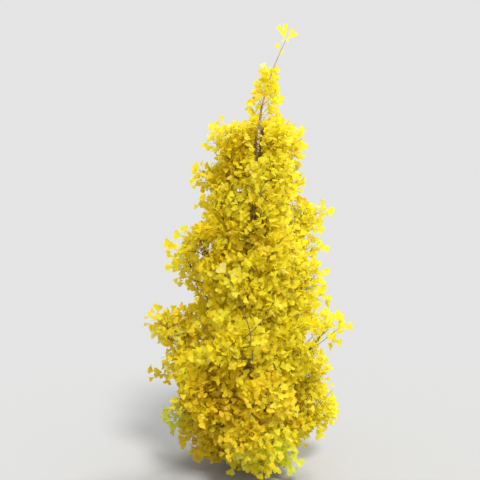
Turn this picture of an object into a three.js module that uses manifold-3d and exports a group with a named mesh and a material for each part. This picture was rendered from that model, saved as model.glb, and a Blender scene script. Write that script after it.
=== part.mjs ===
// A young columnar ginkgo in full autumn leaf, 2.67 m tall, in millimetres with +Z up. The origin is the
// middle of the flat cut under the trunk, at ground level. Seen from the front, along +Y, +X is to the
// right.
//
// The trunk runs up through tiers of ascending limbs. The inner part of a strong limb is a bough of its
// own, and what grows on from it is a mass: one stem with twigs and fan-shaped leaves, all in the mass's
// own space, round a smaller core. A weak limb is a mass that meets the trunk directly, and the leader is
// the mass on the trunk's tip.

import * as THREE from "three";
import { mergeVertices } from "three/addons/utils/BufferGeometryUtils.js";
import Module from "manifold-3d";

const wasm = await Module();
wasm.setup();

// Trunk
const TRUNK_HEIGHT = 2050;
const TRUNK_BASE_RADIUS = 21;
const TRUNK_TIP_RADIUS = 8.5;
const TRUNK_TAPER = 0.85;
const ROOT_FLARE = 17;
const ROOT_FLARE_HEIGHT = 55;
const ROOT_LOBES = 5;
const ROOT_LOBE_SHARE = 0.22;
const FOOT_TRIM = 1;
const TRUNK_LEAN = 60;
const TRUNK_LEAN_POWER = 2.2;
const TRUNK_KINK = 24;
const TRUNK_KINK_FROM = 500;
const TRUNK_KINK_TO = 760;
const TRUNK_SWAY = 16;
const TRUNK_SIDES = 10;
const TRUNK_STEPS = 18;

// Tiers of limbs, from the ground up: the heights of a limb's root and of its tip on the left and on the
// right, and the tip's reach from the trunk on either side. entry is the share of the limb at which its
// bough ends and its mass begins, and a tier with none has no boughs.
const TIERS = [
  { limbs: 4, turn: 25, root: 110, tips: [200, 210], reach: [235, 285], entry: 0 },
  { limbs: 4, turn: 185, root: 150, tips: [400, 365], reach: [385, 475], entry: 0.36 },
  { limbs: 5, turn: 6, root: 270, tips: [610, 560], reach: [495, 425], entry: 0.36 },
  { limbs: 5, turn: 194, root: 480, tips: [880, 850], reach: [535, 440], entry: 0.36 },
  { limbs: 4, turn: 352, root: 770, tips: [1250, 1160], reach: [415, 335], entry: 0.34 },
  { limbs: 4, turn: 205, root: 1030, tips: [1430, 1310], reach: [390, 365], entry: 0 },
  { limbs: 4, turn: 15, root: 1270, tips: [1600, 1560], reach: [240, 350], entry: 0 },
  { limbs: 3, turn: 170, root: 1500, tips: [1780, 1750], reach: [285, 250], entry: 0 },
  { limbs: 4, turn: 20, root: 1760, tips: [1990, 1960], reach: [180, 150], entry: 0 },
];
const ROOT_STEP = 34;
const TURN_JITTER = 12;
const REACH_JITTER = 0.05;
const TIP_JITTER = 26;
const LIMB_ROOT_SHARE = 0.44;
const LIMB_TIP_RADIUS = 3;
const LIMB_TAPER = 0.7;
const LIMB_OUTWARD = 0.56;
const LIMB_RISE = 0.2;
const LIMB_SIDES = 5;
const BOUGH_STEPS = 3;
const STEM_STEPS = 4;

// Leader, the bent shoot on the trunk's tip, and the weak side shoot below its bend
const LEADER_RISE = 518;
const LEADER_DRIFT = 155;
const LEADER_UPRIGHT_SHARE = 0.46;
const LEADER_LEAFY_SHARES = [0.02, 0.38];
const LEADER_TWIGS = 10;
const LEADER_TWIG_LENGTHS = [115, 34];
const LEADER_TWIG_LEAF = 0.74;
const LEADER_TOP_SPREAD = 0.6;
const LEADER_TOP_LEAF = 0.9;
const SIDE_SHOOT_SHARE = 0.46;
const SIDE_SHOOT_RISE = 96;
const SIDE_SHOOT_DRIFT = -8;
const SIDE_SHOOT_LEAF = 0.5;

// Twigs along a stem, each turned from the last by the golden angle. They and their leaves are larger
// near the ground than near the trunk's tip.
const SIZE_AT_FOOT = 1.18;
const SIZE_AT_TIP = 0.86;
const TWIGS_PER_MASS = 5;
const FIRST_TWIG_ON_BOUGH = 0.06;
const FIRST_TWIG_ON_TRUNK = 0.3;
const LAST_TWIG = 0.88;
const GOLDEN_ANGLE = 137.5;
const TWIG_LENGTHS = [165, 113];
const TWIG_LENGTH_JITTER = 0.15;
const TWIG_SPREAD = 1.1;
const TWIG_LIFT = 0.25;
const TWIG_RADIUS = 4;
const TWIG_TIP_RADIUS = 3.2;
const TWIG_SIDES = 3;
const TWIG_STEPS = 1;

// Leaves: one at a twig's end and one to either side of it, and a few at a stem's end
const TIP_SHARE = 0.985;
const SIDE_LEAF_SHARES = [0.85, 0.5];
const END_LEAVES = 3;
const END_LEAF_AHEAD = 3;
const END_LEAF_SPREAD = 0.5;
const LEAF_LENGTH = 108;
const LEAF_WIDTH = 138;
const LEAF_THICKNESS = 4;
const LEAF_NOTCH = 0.88;
const LEAF_THICKEST = 0.14;
const LEAF_MIDDLE = 0.6;
const LEAF_SINK = 1.2;
const LEAF_TURNS = 4;
const LEAF_SCATTER = 0.3;
const LEAF_FACES_FRONT = 0.6;
const LEAF_FACES_UP = 0.3;
const LEAF_SIZE_JITTER = 0.15;
const LEAF_APART = 62;

// Cores
const CORE_FROM = 0.12;
const CORE_TO = 0.86;
const CORE_RADIUS = 84;
const CORE_SIDES = 6;
const CORE_STEPS = 4;
const CORE_POINTED = 0.16;
const CORE_FULLNESS = 0.8;
const CORE_CRINKLE = 0.3;
const CORE_SHRINK = 0.92;

// Spaces
const SPACE_RADIUS = 255;
const SPACE_GAP = 9;
const LIMB_CLEARANCE = 7;
const GROUND_CLEARANCE = 90;
const SEAT_GAP = 0.3;
const LINE_STEPS = 8;
const LEAF_SAMPLES = 8;
const TWIG_SAMPLES = 6;
const TWIG_ROOT_SAMPLES = 2;

const MERGE_TOLERANCE = 0.0001;
const JOIN_TOLERANCE = 0.1;

const LIMB_SEED = 11;
const MASS_SEED = 400;

const BARK = { color: 0x8b7562, roughness: 0.9, metalness: 0 };
const LEAF_GOLD = { color: 0xd9b916, roughness: 0.6, metalness: 0 };
const LEAF_LEMON = { color: 0xefdc2c, roughness: 0.6, metalness: 0 };

const UP = new THREE.Vector3(0, 0, 1);
const radians = THREE.MathUtils.degToRad;
const lerp = THREE.MathUtils.lerp;

// A repeatable stream of numbers from 0 to 1 for one seed.
function seededDraws(seed) {
  let state = seed >>> 0;
  return () => {
    state = (state + 0x6d2b79f5) >>> 0;
    let mixed = Math.imul(state ^ (state >>> 15), state | 1);
    mixed ^= mixed + Math.imul(mixed ^ (mixed >>> 7), mixed | 61);
    return ((mixed ^ (mixed >>> 14)) >>> 0) / 2 ** 32;
  };
}

// A draw spread evenly from -1 to 1.
function evenly(draw) {
  return 2 * draw() - 1;
}

// The trunk's middle line: upright at the foot, with a kink low down and a lean that grows with height.
class TrunkLine extends THREE.Curve {
  getPoint(share, target = new THREE.Vector3()) {
    const height = share * TRUNK_HEIGHT;
    const kink = TRUNK_KINK * THREE.MathUtils.smoothstep(height, TRUNK_KINK_FROM, TRUNK_KINK_TO);
    const lean = TRUNK_LEAN * share ** TRUNK_LEAN_POWER;
    const sway = (TRUNK_SWAY * (1 - Math.cos(2 * Math.PI * share))) / 2;
    return target.set(kink + lean, sway, height);
  }
}

const trunkLine = new TrunkLine();

function trunkRadius(height) {
  const left = Math.max(0, 1 - height / TRUNK_HEIGHT);
  return TRUNK_TIP_RADIUS + (TRUNK_BASE_RADIUS - TRUNK_TIP_RADIUS) * left ** TRUNK_TAPER;
}

function trunkPoint(height) {
  return trunkLine.getPoint(height / TRUNK_HEIGHT);
}

// A closed rod bent along a curve. radiusAt takes the share of the length, the middle of the section
// there, the direction outward from it, and the angle round it.
function rodAlong(curve, sides, steps, radiusAt) {
  const frames = curve.computeFrenetFrames(steps, false);
  const rod = new THREE.CylinderGeometry(1, 1, 1, sides, steps);
  const place = rod.getAttribute("position");
  for (let i = 0; i < place.count; i += 1) {
    const step = Math.round((place.getY(i) + 0.5) * steps);
    const angle = Math.atan2(place.getZ(i), place.getX(i));
    const middle = curve.getPointAt(step / steps);
    const outward = frames.normals[step].clone().multiplyScalar(Math.sin(angle));
    outward.addScaledVector(frames.binormals[step], Math.cos(angle));
    const share = Math.hypot(place.getX(i), place.getZ(i));
    const point = middle.clone();
    point.addScaledVector(outward, share * radiusAt(step / steps, middle, outward, angle));
    place.setXYZ(i, point.x, point.y, point.z);
  }
  return rod;
}

// A geometry as a solid that can be cut and joined, with its faces turned outward.
function solidOf(geometry) {
  const bare = geometry.clone();
  bare.deleteAttribute("normal");
  bare.deleteAttribute("uv");
  const merged = mergeVertices(bare, MERGE_TOLERANCE);
  const numbers = { numProp: 3, vertProperties: merged.getAttribute("position").array };
  const corners = new Uint32Array(merged.index.array);
  const solid = new wasm.Manifold(new wasm.Mesh({ ...numbers, triVerts: corners }));
  return solid.volume() > 0
    ? solid
    : new wasm.Manifold(new wasm.Mesh({ ...numbers, triVerts: corners.toReversed() }));
}

// Joins solids into one body. A hollow that the joining seals is filled, and a loose scrap is dropped.
function joined(solids) {
  const bodies = wasm.Manifold.union(solids).decompose();
  bodies.sort((a, b) => b.volume() - a.volume());
  return bodies[0].asOriginal().simplify(JOIN_TOLERANCE);
}

function meshOf(name, solid, finish) {
  const { vertProperties, triVerts } = solid.getMesh();
  const geometry = new THREE.BufferGeometry();
  geometry.setAttribute("position", new THREE.BufferAttribute(vertProperties, 3));
  geometry.setIndex(new THREE.BufferAttribute(triVerts, 1));
  geometry.computeVertexNormals();
  const mesh = new THREE.Mesh(geometry, new THREE.MeshStandardMaterial(finish));
  mesh.name = name;
  return mesh;
}

// How far the root flare stands out of the trunk at a height and an angle.
function rootFlare(height, angle) {
  const lobes = 1 + ROOT_LOBE_SHARE * Math.cos(ROOT_LOBES * angle);
  return ROOT_FLARE * Math.exp(-height / ROOT_FLARE_HEIGHT) * lobes;
}

// The trunk as a solid, wider all round by extra, with a flat cut at ground level.
function trunkSolid(extra) {
  const rod = rodAlong(trunkLine, TRUNK_SIDES, TRUNK_STEPS, (share, middle, outward, angle) =>
    trunkRadius(middle.z) + rootFlare(middle.z, angle) + extra,
  );
  const place = rod.getAttribute("position");
  for (let i = 0; i < place.count; i += 1) {
    if (place.getZ(i) < FOOT_TRIM) {
      place.setZ(i, 0);
    }
  }
  return solidOf(rod);
}

// One limb's course from the trunk's middle to its tip.
function limbOf(tier, tierNumber, k) {
  const draw = seededDraws(LIMB_SEED + 10 * tierNumber + k);
  const azimuth = radians(tier.turn + (360 * k) / tier.limbs + TURN_JITTER * evenly(draw));
  const toRight = (1 + Math.cos(azimuth)) / 2;
  const reach = lerp(...tier.reach, toRight) * (1 + REACH_JITTER * evenly(draw));
  const rootHeight = tier.root + ROOT_STEP * (((2 * k) % tier.limbs) / 2 - (k % 2) / 2);
  const tipHeight = lerp(...tier.tips, toRight) + TIP_JITTER * evenly(draw);
  const outward = new THREE.Vector3(Math.cos(azimuth), Math.sin(azimuth), 0);
  const root = trunkPoint(rootHeight);
  const tip = trunkPoint(tipHeight).addScaledVector(outward, reach);
  const bend = root.clone().addScaledVector(outward, LIMB_OUTWARD * reach);
  bend.z = lerp(rootHeight, tipHeight, LIMB_RISE);
  const rootRadius = LIMB_ROOT_SHARE * trunkRadius(rootHeight);
  return {
    label: `${tierNumber}_${k + 1}`,
    course: new THREE.QuadraticBezierCurve3(root, bend, tip),
    radiusAt: (share) => lerp(rootRadius, LIMB_TIP_RADIUS, share ** LIMB_TAPER),
    entry: tier.entry,
    size: lerp(SIZE_AT_FOOT, SIZE_AT_TIP, tipHeight / TRUNK_HEIGHT),
    toRight,
  };
}

// The stretch of a curve between two shares of its length, as a curve of its own.
class Stretch extends THREE.Curve {
  constructor(whole, from, to) {
    super();
    this.whole = whole;
    this.from = from;
    this.to = to;
  }

  getPoint(share, target = new THREE.Vector3()) {
    return this.whole.getPointAt(lerp(this.from, this.to, share), target);
  }
}

// The leader's course: it rises straight on from the trunk's tip and bends over to the right.
function leaderCourse() {
  const ahead = trunkLine.getTangent(1);
  const foot = trunkPoint(TRUNK_HEIGHT).addScaledVector(ahead, SEAT_GAP);
  const bend = foot.clone().addScaledVector(ahead, LEADER_UPRIGHT_SHARE * LEADER_RISE);
  const top = foot.clone().add(new THREE.Vector3(LEADER_DRIFT, 0, LEADER_RISE));
  return new THREE.QuadraticBezierCurve3(foot, bend, top);
}

const limbs = TIERS.flatMap((tier, t) =>
  Array.from({ length: tier.limbs }, (_, k) => limbOf(tier, t + 1, k)),
);
const boughs = limbs.filter((limb) => limb.entry > 0);
const leader = {
  label: "leader",
  course: leaderCourse(),
  radiusAt: (share) => lerp(TRUNK_TIP_RADIUS, LIMB_TIP_RADIUS, share ** LIMB_TAPER),
  entry: 0,
  toRight: 1,
};
const masses = [...limbs, leader];

// A curve as straight pieces that distances are measured to.
function lineOf(curve) {
  const points = curve.getSpacedPoints(LINE_STEPS);
  return points.slice(1).map((point, i) => new THREE.Line3(points[i], point));
}

// Each mass's stem, which starts clear of its bough's tip, and the line that marks its space.
for (const mass of masses) {
  const start = mass.entry > 0 ? mass.entry + SEAT_GAP / mass.course.getLength() : 0;
  mass.stem = new Stretch(mass.course, start, 1);
  mass.stemRadiusAt = (share) => mass.radiusAt(lerp(start, 1, share));
  mass.line = lineOf(mass.course);
  mass.boughLine = mass.entry > 0 ? lineOf(new Stretch(mass.course, 0, mass.entry)) : [];
  mass.bladeMiddles = [];
}

const nearest = new THREE.Vector3();

function distanceTo(line, point) {
  const far = (piece) => piece.closestPointToPoint(point, true, nearest).distanceTo(point);
  return Math.min(...line.map(far));
}

function clearOfTrunk(point) {
  if (point.z > TRUNK_HEIGHT + LIMB_CLEARANCE) {
    return true;
  }
  const middle = trunkPoint(Math.min(point.z, TRUNK_HEIGHT));
  const away = Math.hypot(point.x - middle.x, point.y - middle.y);
  return away > trunkRadius(point.z) + rootFlare(point.z, 0) + LIMB_CLEARANCE;
}

// Whether a point lies in a mass's own space: within its reach, clear of the ground, the trunk and its
// bough, and nearer its own limb than any other.
function inSpace(mass, point) {
  if (point.z < GROUND_CLEARANCE || !clearOfTrunk(point)) {
    return false;
  }
  if (distanceTo(mass.boughLine, point) < mass.radiusAt(0) + LIMB_CLEARANCE) {
    return false;
  }
  const own = distanceTo(mass.line, point);
  if (own > SPACE_RADIUS) {
    return false;
  }
  return masses.every((other) => other === mass || distanceTo(other.line, point) > own + SPACE_GAP);
}

function keepsToSpace(mass, points) {
  return points.every((point) => inSpace(mass, point));
}

// A fan-shaped leaf from an octahedron: its lower point is the root, its upper point the notch, its sides
// the corners of the fan, and its front and back the thickest place, near the stalk.
function leafSolid(root, along, normal, size) {
  const across = new THREE.Vector3().crossVectors(along, normal);
  const blade = new THREE.OctahedronGeometry(1);
  const place = blade.getAttribute("position");
  for (let i = 0; i < place.count; i += 1) {
    const [x, y, z] = [place.getX(i), place.getY(i), place.getZ(i)].map(Math.round);
    const share = x ? 1 : z ? LEAF_THICKEST : Math.max(0, y) * LEAF_NOTCH;
    const point = root.clone().addScaledVector(along, share * LEAF_LENGTH * size);
    point.addScaledVector(across, (x * LEAF_WIDTH * size) / 2);
    point.addScaledVector(normal, (z * LEAF_THICKNESS) / 2);
    place.setXYZ(i, point.x, point.y, point.z);
  }
  return solidOf(blade);
}

// Points spread over a leaf's blade, close enough together that no limb passes between them.
function leafPoints(root, along, normal, size) {
  const across = new THREE.Vector3().crossVectors(along, normal);
  const points = [];
  for (let i = 2; i <= LEAF_SAMPLES; i += 1) {
    for (let j = -i; j <= i; j += 2) {
      const point = root.clone().addScaledVector(along, (i / LEAF_SAMPLES) * LEAF_LENGTH * size);
      points.push(point.addScaledVector(across, ((j / LEAF_SAMPLES) * LEAF_WIDTH * size) / 2));
    }
  }
  return points;
}

// A leaf that grows from a point on a twig or stem. It turns a few ways to find room, and nothing grows
// where it would still leave the mass's space or lie on another leaf.
function growLeaf(mass, point, towards, draw, size) {
  for (let turn = 1; turn <= LEAF_TURNS; turn += 1) {
    const scatter = new THREE.Vector3(evenly(draw), evenly(draw), evenly(draw));
    const along = towards.clone().normalize().addScaledVector(scatter, LEAF_SCATTER * turn).normalize();
    const facing = new THREE.Vector3(evenly(draw), evenly(draw), evenly(draw));
    facing.add(new THREE.Vector3(0, -LEAF_FACES_FRONT, LEAF_FACES_UP));
    const normal = facing.addScaledVector(along, -facing.dot(along)).normalize();
    const scale = size * (1 + LEAF_SIZE_JITTER * evenly(draw));
    const root = point.clone().addScaledVector(along, -LEAF_SINK);
    const middle = root.clone().addScaledVector(along, LEAF_MIDDLE * LEAF_LENGTH * scale);
    const crowded = mass.bladeMiddles.some((other) => other.distanceTo(middle) < LEAF_APART * size);
    if (!crowded && keepsToSpace(mass, leafPoints(root, along, normal, scale))) {
      mass.bladeMiddles.push(middle);
      return [leafSolid(root, along, normal, scale)];
    }
  }
  return [];
}

// A twig from a point on the stem with leaves along it and at its end, or nothing where it would leave
// the space.
function growTwig(mass, point, towards, draw, length, leafSize) {
  const tip = point.clone().addScaledVector(towards, length);
  tip.z += TWIG_LIFT * length;
  const course = new THREE.LineCurve3(point, tip);
  if (!keepsToSpace(mass, course.getPoints(TWIG_SAMPLES).slice(TWIG_ROOT_SAMPLES))) {
    return [];
  }
  const ahead = course.getTangent(0);
  const sideways = new THREE.Vector3().crossVectors(ahead, UP).normalize();
  const leaves = growLeaf(mass, course.getPoint(TIP_SHARE), ahead, draw, leafSize);
  for (const share of SIDE_LEAF_SHARES) {
    sideways.negate();
    leaves.push(...growLeaf(mass, course.getPoint(share), ahead.clone().add(sideways), draw, leafSize));
  }
  const radiusAt = (share) => lerp(TWIG_RADIUS, TWIG_TIP_RADIUS, share);
  const twig = solidOf(rodAlong(course, TWIG_SIDES, TWIG_STEPS, radiusAt));
  return leaves.length > 0 ? [twig, ...leaves] : [];
}

// The direction of the k-th twig round a stem, leaning out from the stem's own direction.
function twigHeading(stem, share, k) {
  const tangent = stem.getTangentAt(share);
  const sideways = new THREE.Vector3().crossVectors(tangent, UP).normalize();
  sideways.applyAxisAngle(tangent, radians(GOLDEN_ANGLE * k));
  return tangent.addScaledVector(sideways, TWIG_SPREAD).normalize();
}

// The core of a mass: a crinkled spindle round its stem, drawn in wherever it would leave the mass's
// space.
function coreSolid(mass) {
  const middleLine = new Stretch(mass.stem, CORE_FROM, CORE_TO);
  const rod = rodAlong(middleLine, CORE_SIDES, CORE_STEPS, (share, middle, outward, angle) => {
    const full = Math.sin(Math.PI * lerp(CORE_POINTED, 1 - CORE_POINTED, share)) ** CORE_FULLNESS;
    const bulge = Math.sin((CORE_SIDES / 2) * angle + Math.PI * CORE_STEPS * share);
    let radius = CORE_RADIUS * full * (1 + CORE_CRINKLE * bulge);
    while (radius > LIMB_TIP_RADIUS && !inSpace(mass, middle.clone().addScaledVector(outward, radius))) {
      radius *= CORE_SHRINK;
    }
    return radius;
  });
  return solidOf(rod);
}

// The core, twigs and leaves of a mass on a limb.
function growMass(limb, draw) {
  const grown = [];
  for (let k = 0; k < END_LEAVES; k += 1) {
    const heading = twigHeading(limb.stem, 1, k);
    heading.addScaledVector(limb.stem.getTangentAt(1), k ? END_LEAF_SPREAD : END_LEAF_AHEAD);
    grown.push(...growLeaf(limb, limb.stem.getPointAt(TIP_SHARE), heading, draw, limb.size));
  }
  const firstTwig = limb.entry > 0 ? FIRST_TWIG_ON_BOUGH : FIRST_TWIG_ON_TRUNK;
  for (let k = 0; k < TWIGS_PER_MASS; k += 1) {
    const share = lerp(firstTwig, LAST_TWIG, k / (TWIGS_PER_MASS - 1));
    const heading = twigHeading(limb.stem, share, k);
    const length = limb.size * lerp(...TWIG_LENGTHS, share) * (1 + TWIG_LENGTH_JITTER * evenly(draw));
    grown.push(...growTwig(limb, limb.stem.getPointAt(share), heading, draw, length, limb.size));
  }
  return grown;
}

// The leader's two leaves on its tip, its short leafy twigs, and its weak side shoot.
function growLeader(draw) {
  const grown = [];
  for (const side of [-1, 1]) {
    const heading = new THREE.Vector3(side * LEADER_TOP_SPREAD, 0, 1);
    const tip = leader.stem.getPointAt(TIP_SHARE);
    grown.push(...growLeaf(leader, tip, heading, draw, LEADER_TOP_LEAF));
  }
  for (let k = 0; k < LEADER_TWIGS; k += 1) {
    const along = k / (LEADER_TWIGS - 1);
    const share = lerp(...LEADER_LEAFY_SHARES, along);
    const heading = twigHeading(leader.stem, share, k);
    const length = lerp(...LEADER_TWIG_LENGTHS, along);
    const point = leader.stem.getPointAt(share);
    grown.push(...growTwig(leader, point, heading, draw, length, LEADER_TWIG_LEAF));
  }
  const fork = leader.stem.getPointAt(SIDE_SHOOT_SHARE);
  const end = fork.clone().add(new THREE.Vector3(SIDE_SHOOT_DRIFT, 0, SIDE_SHOOT_RISE));
  const shoot = rodAlong(new THREE.LineCurve3(fork, end), TWIG_SIDES, TWIG_STEPS, () => TWIG_TIP_RADIUS);
  grown.push(solidOf(shoot), ...growLeaf(leader, end, UP, draw, SIDE_SHOOT_LEAF));
  return grown;
}

const tree = new THREE.Group();
const trunkSeat = trunkSolid(SEAT_GAP);
tree.add(meshOf("trunk", trunkSolid(0), BARK));

for (const limb of boughs) {
  const inner = new Stretch(limb.course, 0, limb.entry);
  const rod = rodAlong(inner, LIMB_SIDES, BOUGH_STEPS, (share) => limb.radiusAt(share * limb.entry));
  const bough = joined([solidOf(rod).subtract(trunkSeat)]);
  tree.add(meshOf(`bough_${limb.label}`, bough, BARK));
}

masses.forEach((mass, i) => {
  const draw = seededDraws(MASS_SEED + i);
  const rod = rodAlong(mass.stem, LIMB_SIDES, STEM_STEPS, mass.stemRadiusAt);
  const stem = mass.entry > 0 ? solidOf(rod) : solidOf(rod).subtract(trunkSeat);
  const grown = mass === leader ? growLeader(draw) : [coreSolid(mass), ...growMass(mass, draw)];
  const finish = mass.toRight > 0.5 ? LEAF_LEMON : LEAF_GOLD;
  tree.add(meshOf(`foliage_${mass.label}`, joined([stem, ...grown]), finish));
});

export default tree;
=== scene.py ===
"""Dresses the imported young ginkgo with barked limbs, fine twigs and autumn leaves of life size.

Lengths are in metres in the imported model's frame: +Z is up, and the origin is the middle of the
cut under the trunk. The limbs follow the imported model's own formulas, and its growth rule is
written again here. Where a packed mass has one large leaf, a spray of small leaves grows, and
finer twigs fill the mass between them.
"""

import logging
import math
from collections.abc import Callable
from dataclasses import dataclass, field
from enum import Enum, IntEnum

import bpy
import numpy as np
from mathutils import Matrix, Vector


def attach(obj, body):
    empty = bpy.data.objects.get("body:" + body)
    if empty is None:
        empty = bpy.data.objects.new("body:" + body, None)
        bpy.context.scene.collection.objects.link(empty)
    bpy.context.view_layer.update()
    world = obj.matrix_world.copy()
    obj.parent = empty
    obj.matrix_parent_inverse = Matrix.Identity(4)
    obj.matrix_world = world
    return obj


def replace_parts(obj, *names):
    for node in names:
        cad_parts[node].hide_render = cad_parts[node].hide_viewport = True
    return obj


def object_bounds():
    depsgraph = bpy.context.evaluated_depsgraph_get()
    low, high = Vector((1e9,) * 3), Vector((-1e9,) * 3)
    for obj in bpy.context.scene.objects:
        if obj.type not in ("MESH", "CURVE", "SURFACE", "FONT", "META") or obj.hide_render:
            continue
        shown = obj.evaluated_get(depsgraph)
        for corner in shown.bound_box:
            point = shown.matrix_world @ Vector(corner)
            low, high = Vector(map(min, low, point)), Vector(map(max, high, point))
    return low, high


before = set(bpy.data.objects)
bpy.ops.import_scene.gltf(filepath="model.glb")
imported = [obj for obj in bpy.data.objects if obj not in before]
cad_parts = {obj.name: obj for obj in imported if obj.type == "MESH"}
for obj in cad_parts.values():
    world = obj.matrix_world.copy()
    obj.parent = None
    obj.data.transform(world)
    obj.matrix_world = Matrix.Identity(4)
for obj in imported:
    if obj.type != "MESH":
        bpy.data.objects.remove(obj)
packed_box = [list(corner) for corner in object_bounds()]

log = logging.getLogger("ginkgo")

Array = np.ndarray
Number = float | Array
Pair = tuple[float, float]
Vector3 = tuple[float, float, float]
Socket = bpy.types.NodeSocket
UP = np.array([0.0, 0.0, 1.0])
# Not quite upright, so that a cross product with an upright stem has a length.
OFF_UPRIGHT = UP + 0.01
# Where the camera stands, and where the key light comes from.
EYE = np.array([-0.030, -3.750, 1.600])
KEY_LIGHT = (0.26, -0.60, 0.80)
GOLDEN_ANGLE = math.radians(137.5)
# A unit direction whose y is larger than this is too near +Y for a cross product with it.
NEARLY_ALONG_Y = 0.9


def lerp(start: Number, end: Number, share: Number) -> Number:
    """The value a share of the way from start to end."""
    return start + (end - start) * share


def unit(vector: Array) -> Array:
    """The vector, or each row of an array, at length one."""
    length = np.linalg.norm(vector, axis=-1, keepdims=True)
    return vector / np.maximum(length, 1e-12)


def turned(vector: Array, axis: Array, angle: float) -> Array:
    """A vector turned about a unit axis by an angle in radians."""
    along = axis * np.dot(axis, vector)
    return along + (vector - along) * math.cos(angle) + np.cross(axis, vector) * math.sin(angle)


def spoke_at(axis: Array, turn: float, off: Array = UP) -> Array:
    """A direction square to a unit axis, turned round it by an angle in radians."""
    return turned(unit(np.cross(axis, off)), axis, turn)


def level(azimuth: float) -> Array:
    """The level direction at an azimuth in radians."""
    return np.array([math.cos(azimuth), math.sin(azimuth), 0.0])


def bent(start: Array, bend: Array, end: Array, t: Number) -> Array:
    """Points of a quadratic curve that leans towards a bend, for values of t from 0 to 1."""
    return (1 - t) ** 2 * start + 2 * (1 - t) * t * bend + t**2 * end


@dataclass
class Draws:
    """Repeatable numbers from 0 to 1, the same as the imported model's for the same seed."""

    state: int

    STEP = 0x6D2B79F5
    MASK = 0xFFFFFFFF

    def next(self) -> float:
        """Draws the next number.

        Returns:
            A number from 0 to 1.
        """
        mask = self.MASK
        self.state = (self.state + self.STEP) & mask
        mixed = ((self.state ^ (self.state >> 15)) * (self.state | 1)) & mask
        mixed ^= (mixed + (((mixed ^ (mixed >> 7)) * (mixed | 61)) & mask)) & mask
        return ((mixed ^ (mixed >> 14)) & mask) / 2**32

    def evenly(self) -> float:
        """A number spread evenly from -1 to 1."""
        return 2 * self.next() - 1

    def triple(self) -> Array:
        """Three evenly spread numbers as a vector."""
        return np.array([self.evenly(), self.evenly(), self.evenly()])


@dataclass(frozen=True)
class TrunkShape:
    """The trunk's line and thickness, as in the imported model."""

    height: float = 2.050
    base_radius: float = 0.021
    tip_radius: float = 0.0085
    taper: float = 0.85
    flare: float = 0.017
    flare_height: float = 0.055
    lobes: int = 5
    lobe_share: float = 0.22
    lean: float = 0.060
    lean_power: float = 2.2
    kink: float = 0.024
    kink_from: float = 0.500
    kink_to: float = 0.760
    sway: float = 0.016

    def line(self, shares: Array) -> Array:
        """Points of the middle line: upright at the foot, with a low kink and a growing lean.

        Args:
            shares: Shares of the trunk's height.

        Returns:
            One point for each share.
        """
        height = shares * self.height
        step = np.clip((height - self.kink_from) / (self.kink_to - self.kink_from), 0, 1)
        across = self.kink * step * step * (3 - 2 * step) + self.lean * shares**self.lean_power
        return np.stack([across, self.sway * (1 - np.cos(2 * np.pi * shares)) / 2, height], axis=1)

    def point(self, height: float) -> Array:
        """The middle line's point at a height."""
        return self.line(np.array([min(max(height, 0.0), self.height) / self.height]))[0]

    def radius(self, height: Array) -> Array:
        """The radius at a height, above the root flare."""
        left = np.maximum(0, 1 - np.asarray(height) / self.height)
        return lerp(self.tip_radius, self.base_radius, left**self.taper)

    def flare_at(self, height: Array, angle: Array) -> Array:
        """How far the root flare stands out at a height and an angle."""
        lobes = 1 + self.lobe_share * np.cos(self.lobes * angle)
        return self.flare * np.exp(-np.asarray(height) / self.flare_height) * lobes

    def away(self, points: Array) -> Array:
        """How far to the right and how far back points lie from the middle line, in two columns."""
        shares = np.clip(points[:, 2], 0, self.height) / self.height
        return (points - self.line(shares))[:, :2]


@dataclass(frozen=True)
class Tier:
    """One tier of limbs: how many, their turn, their roots' height, and their boughs' share.

    The tips' heights and how far they reach are told for the left side and for the right.
    """

    limbs: int
    turn: float
    root: float
    tips: Pair
    reach: Pair
    entry: float


@dataclass(frozen=True)
class LimbRule:
    """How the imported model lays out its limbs."""

    root_step: float = 0.034
    turn_jitter: float = 12.0
    reach_jitter: float = 0.05
    tip_jitter: float = 0.026
    root_share: float = 0.44
    tip_radius: float = 0.003
    taper: float = 0.7
    outward: float = 0.56
    rise: float = 0.2
    size_at_foot: float = 1.18
    size_at_tip: float = 0.86
    seat_gap: float = 0.0003
    seed: int = 11
    tiers: tuple[Tier, ...] = (
        Tier(4, 25, 0.110, (0.200, 0.210), (0.235, 0.285), 0.0),
        Tier(4, 185, 0.150, (0.400, 0.365), (0.385, 0.475), 0.36),
        Tier(5, 6, 0.270, (0.610, 0.560), (0.495, 0.425), 0.36),
        Tier(5, 194, 0.480, (0.880, 0.850), (0.535, 0.440), 0.36),
        Tier(4, 352, 0.770, (1.250, 1.160), (0.415, 0.335), 0.34),
        Tier(4, 205, 1.030, (1.430, 1.310), (0.390, 0.365), 0.0),
        Tier(4, 15, 1.270, (1.600, 1.560), (0.240, 0.350), 0.0),
        Tier(3, 170, 1.500, (1.780, 1.750), (0.285, 0.250), 0.0),
        Tier(4, 20, 1.760, (1.990, 1.960), (0.180, 0.150), 0.0),
    )


@dataclass(frozen=True)
class LeaderRule:
    """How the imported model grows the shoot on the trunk's tip."""

    rise: float = 0.518
    drift: float = 0.155
    upright_share: float = 0.46
    leafy_shares: Pair = (0.02, 0.38)
    twigs: int = 10
    twig_lengths: Pair = (0.115, 0.034)
    twig_leaf: float = 0.74
    top_spread: float = 0.6
    top_leaf: float = 0.9
    side_share: float = 0.46
    side_rise: float = 0.096
    side_drift: float = -0.008
    side_leaf: float = 0.5


@dataclass(frozen=True)
class TwigRule:
    """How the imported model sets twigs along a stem."""

    per_mass: int = 5
    first_on_bough: float = 0.06
    first_on_trunk: float = 0.3
    last: float = 0.88
    lengths: Pair = (0.165, 0.113)
    length_jitter: float = 0.15
    spread: float = 1.1
    lift: float = 0.25
    samples: int = 6
    root_samples: int = 2


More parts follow.
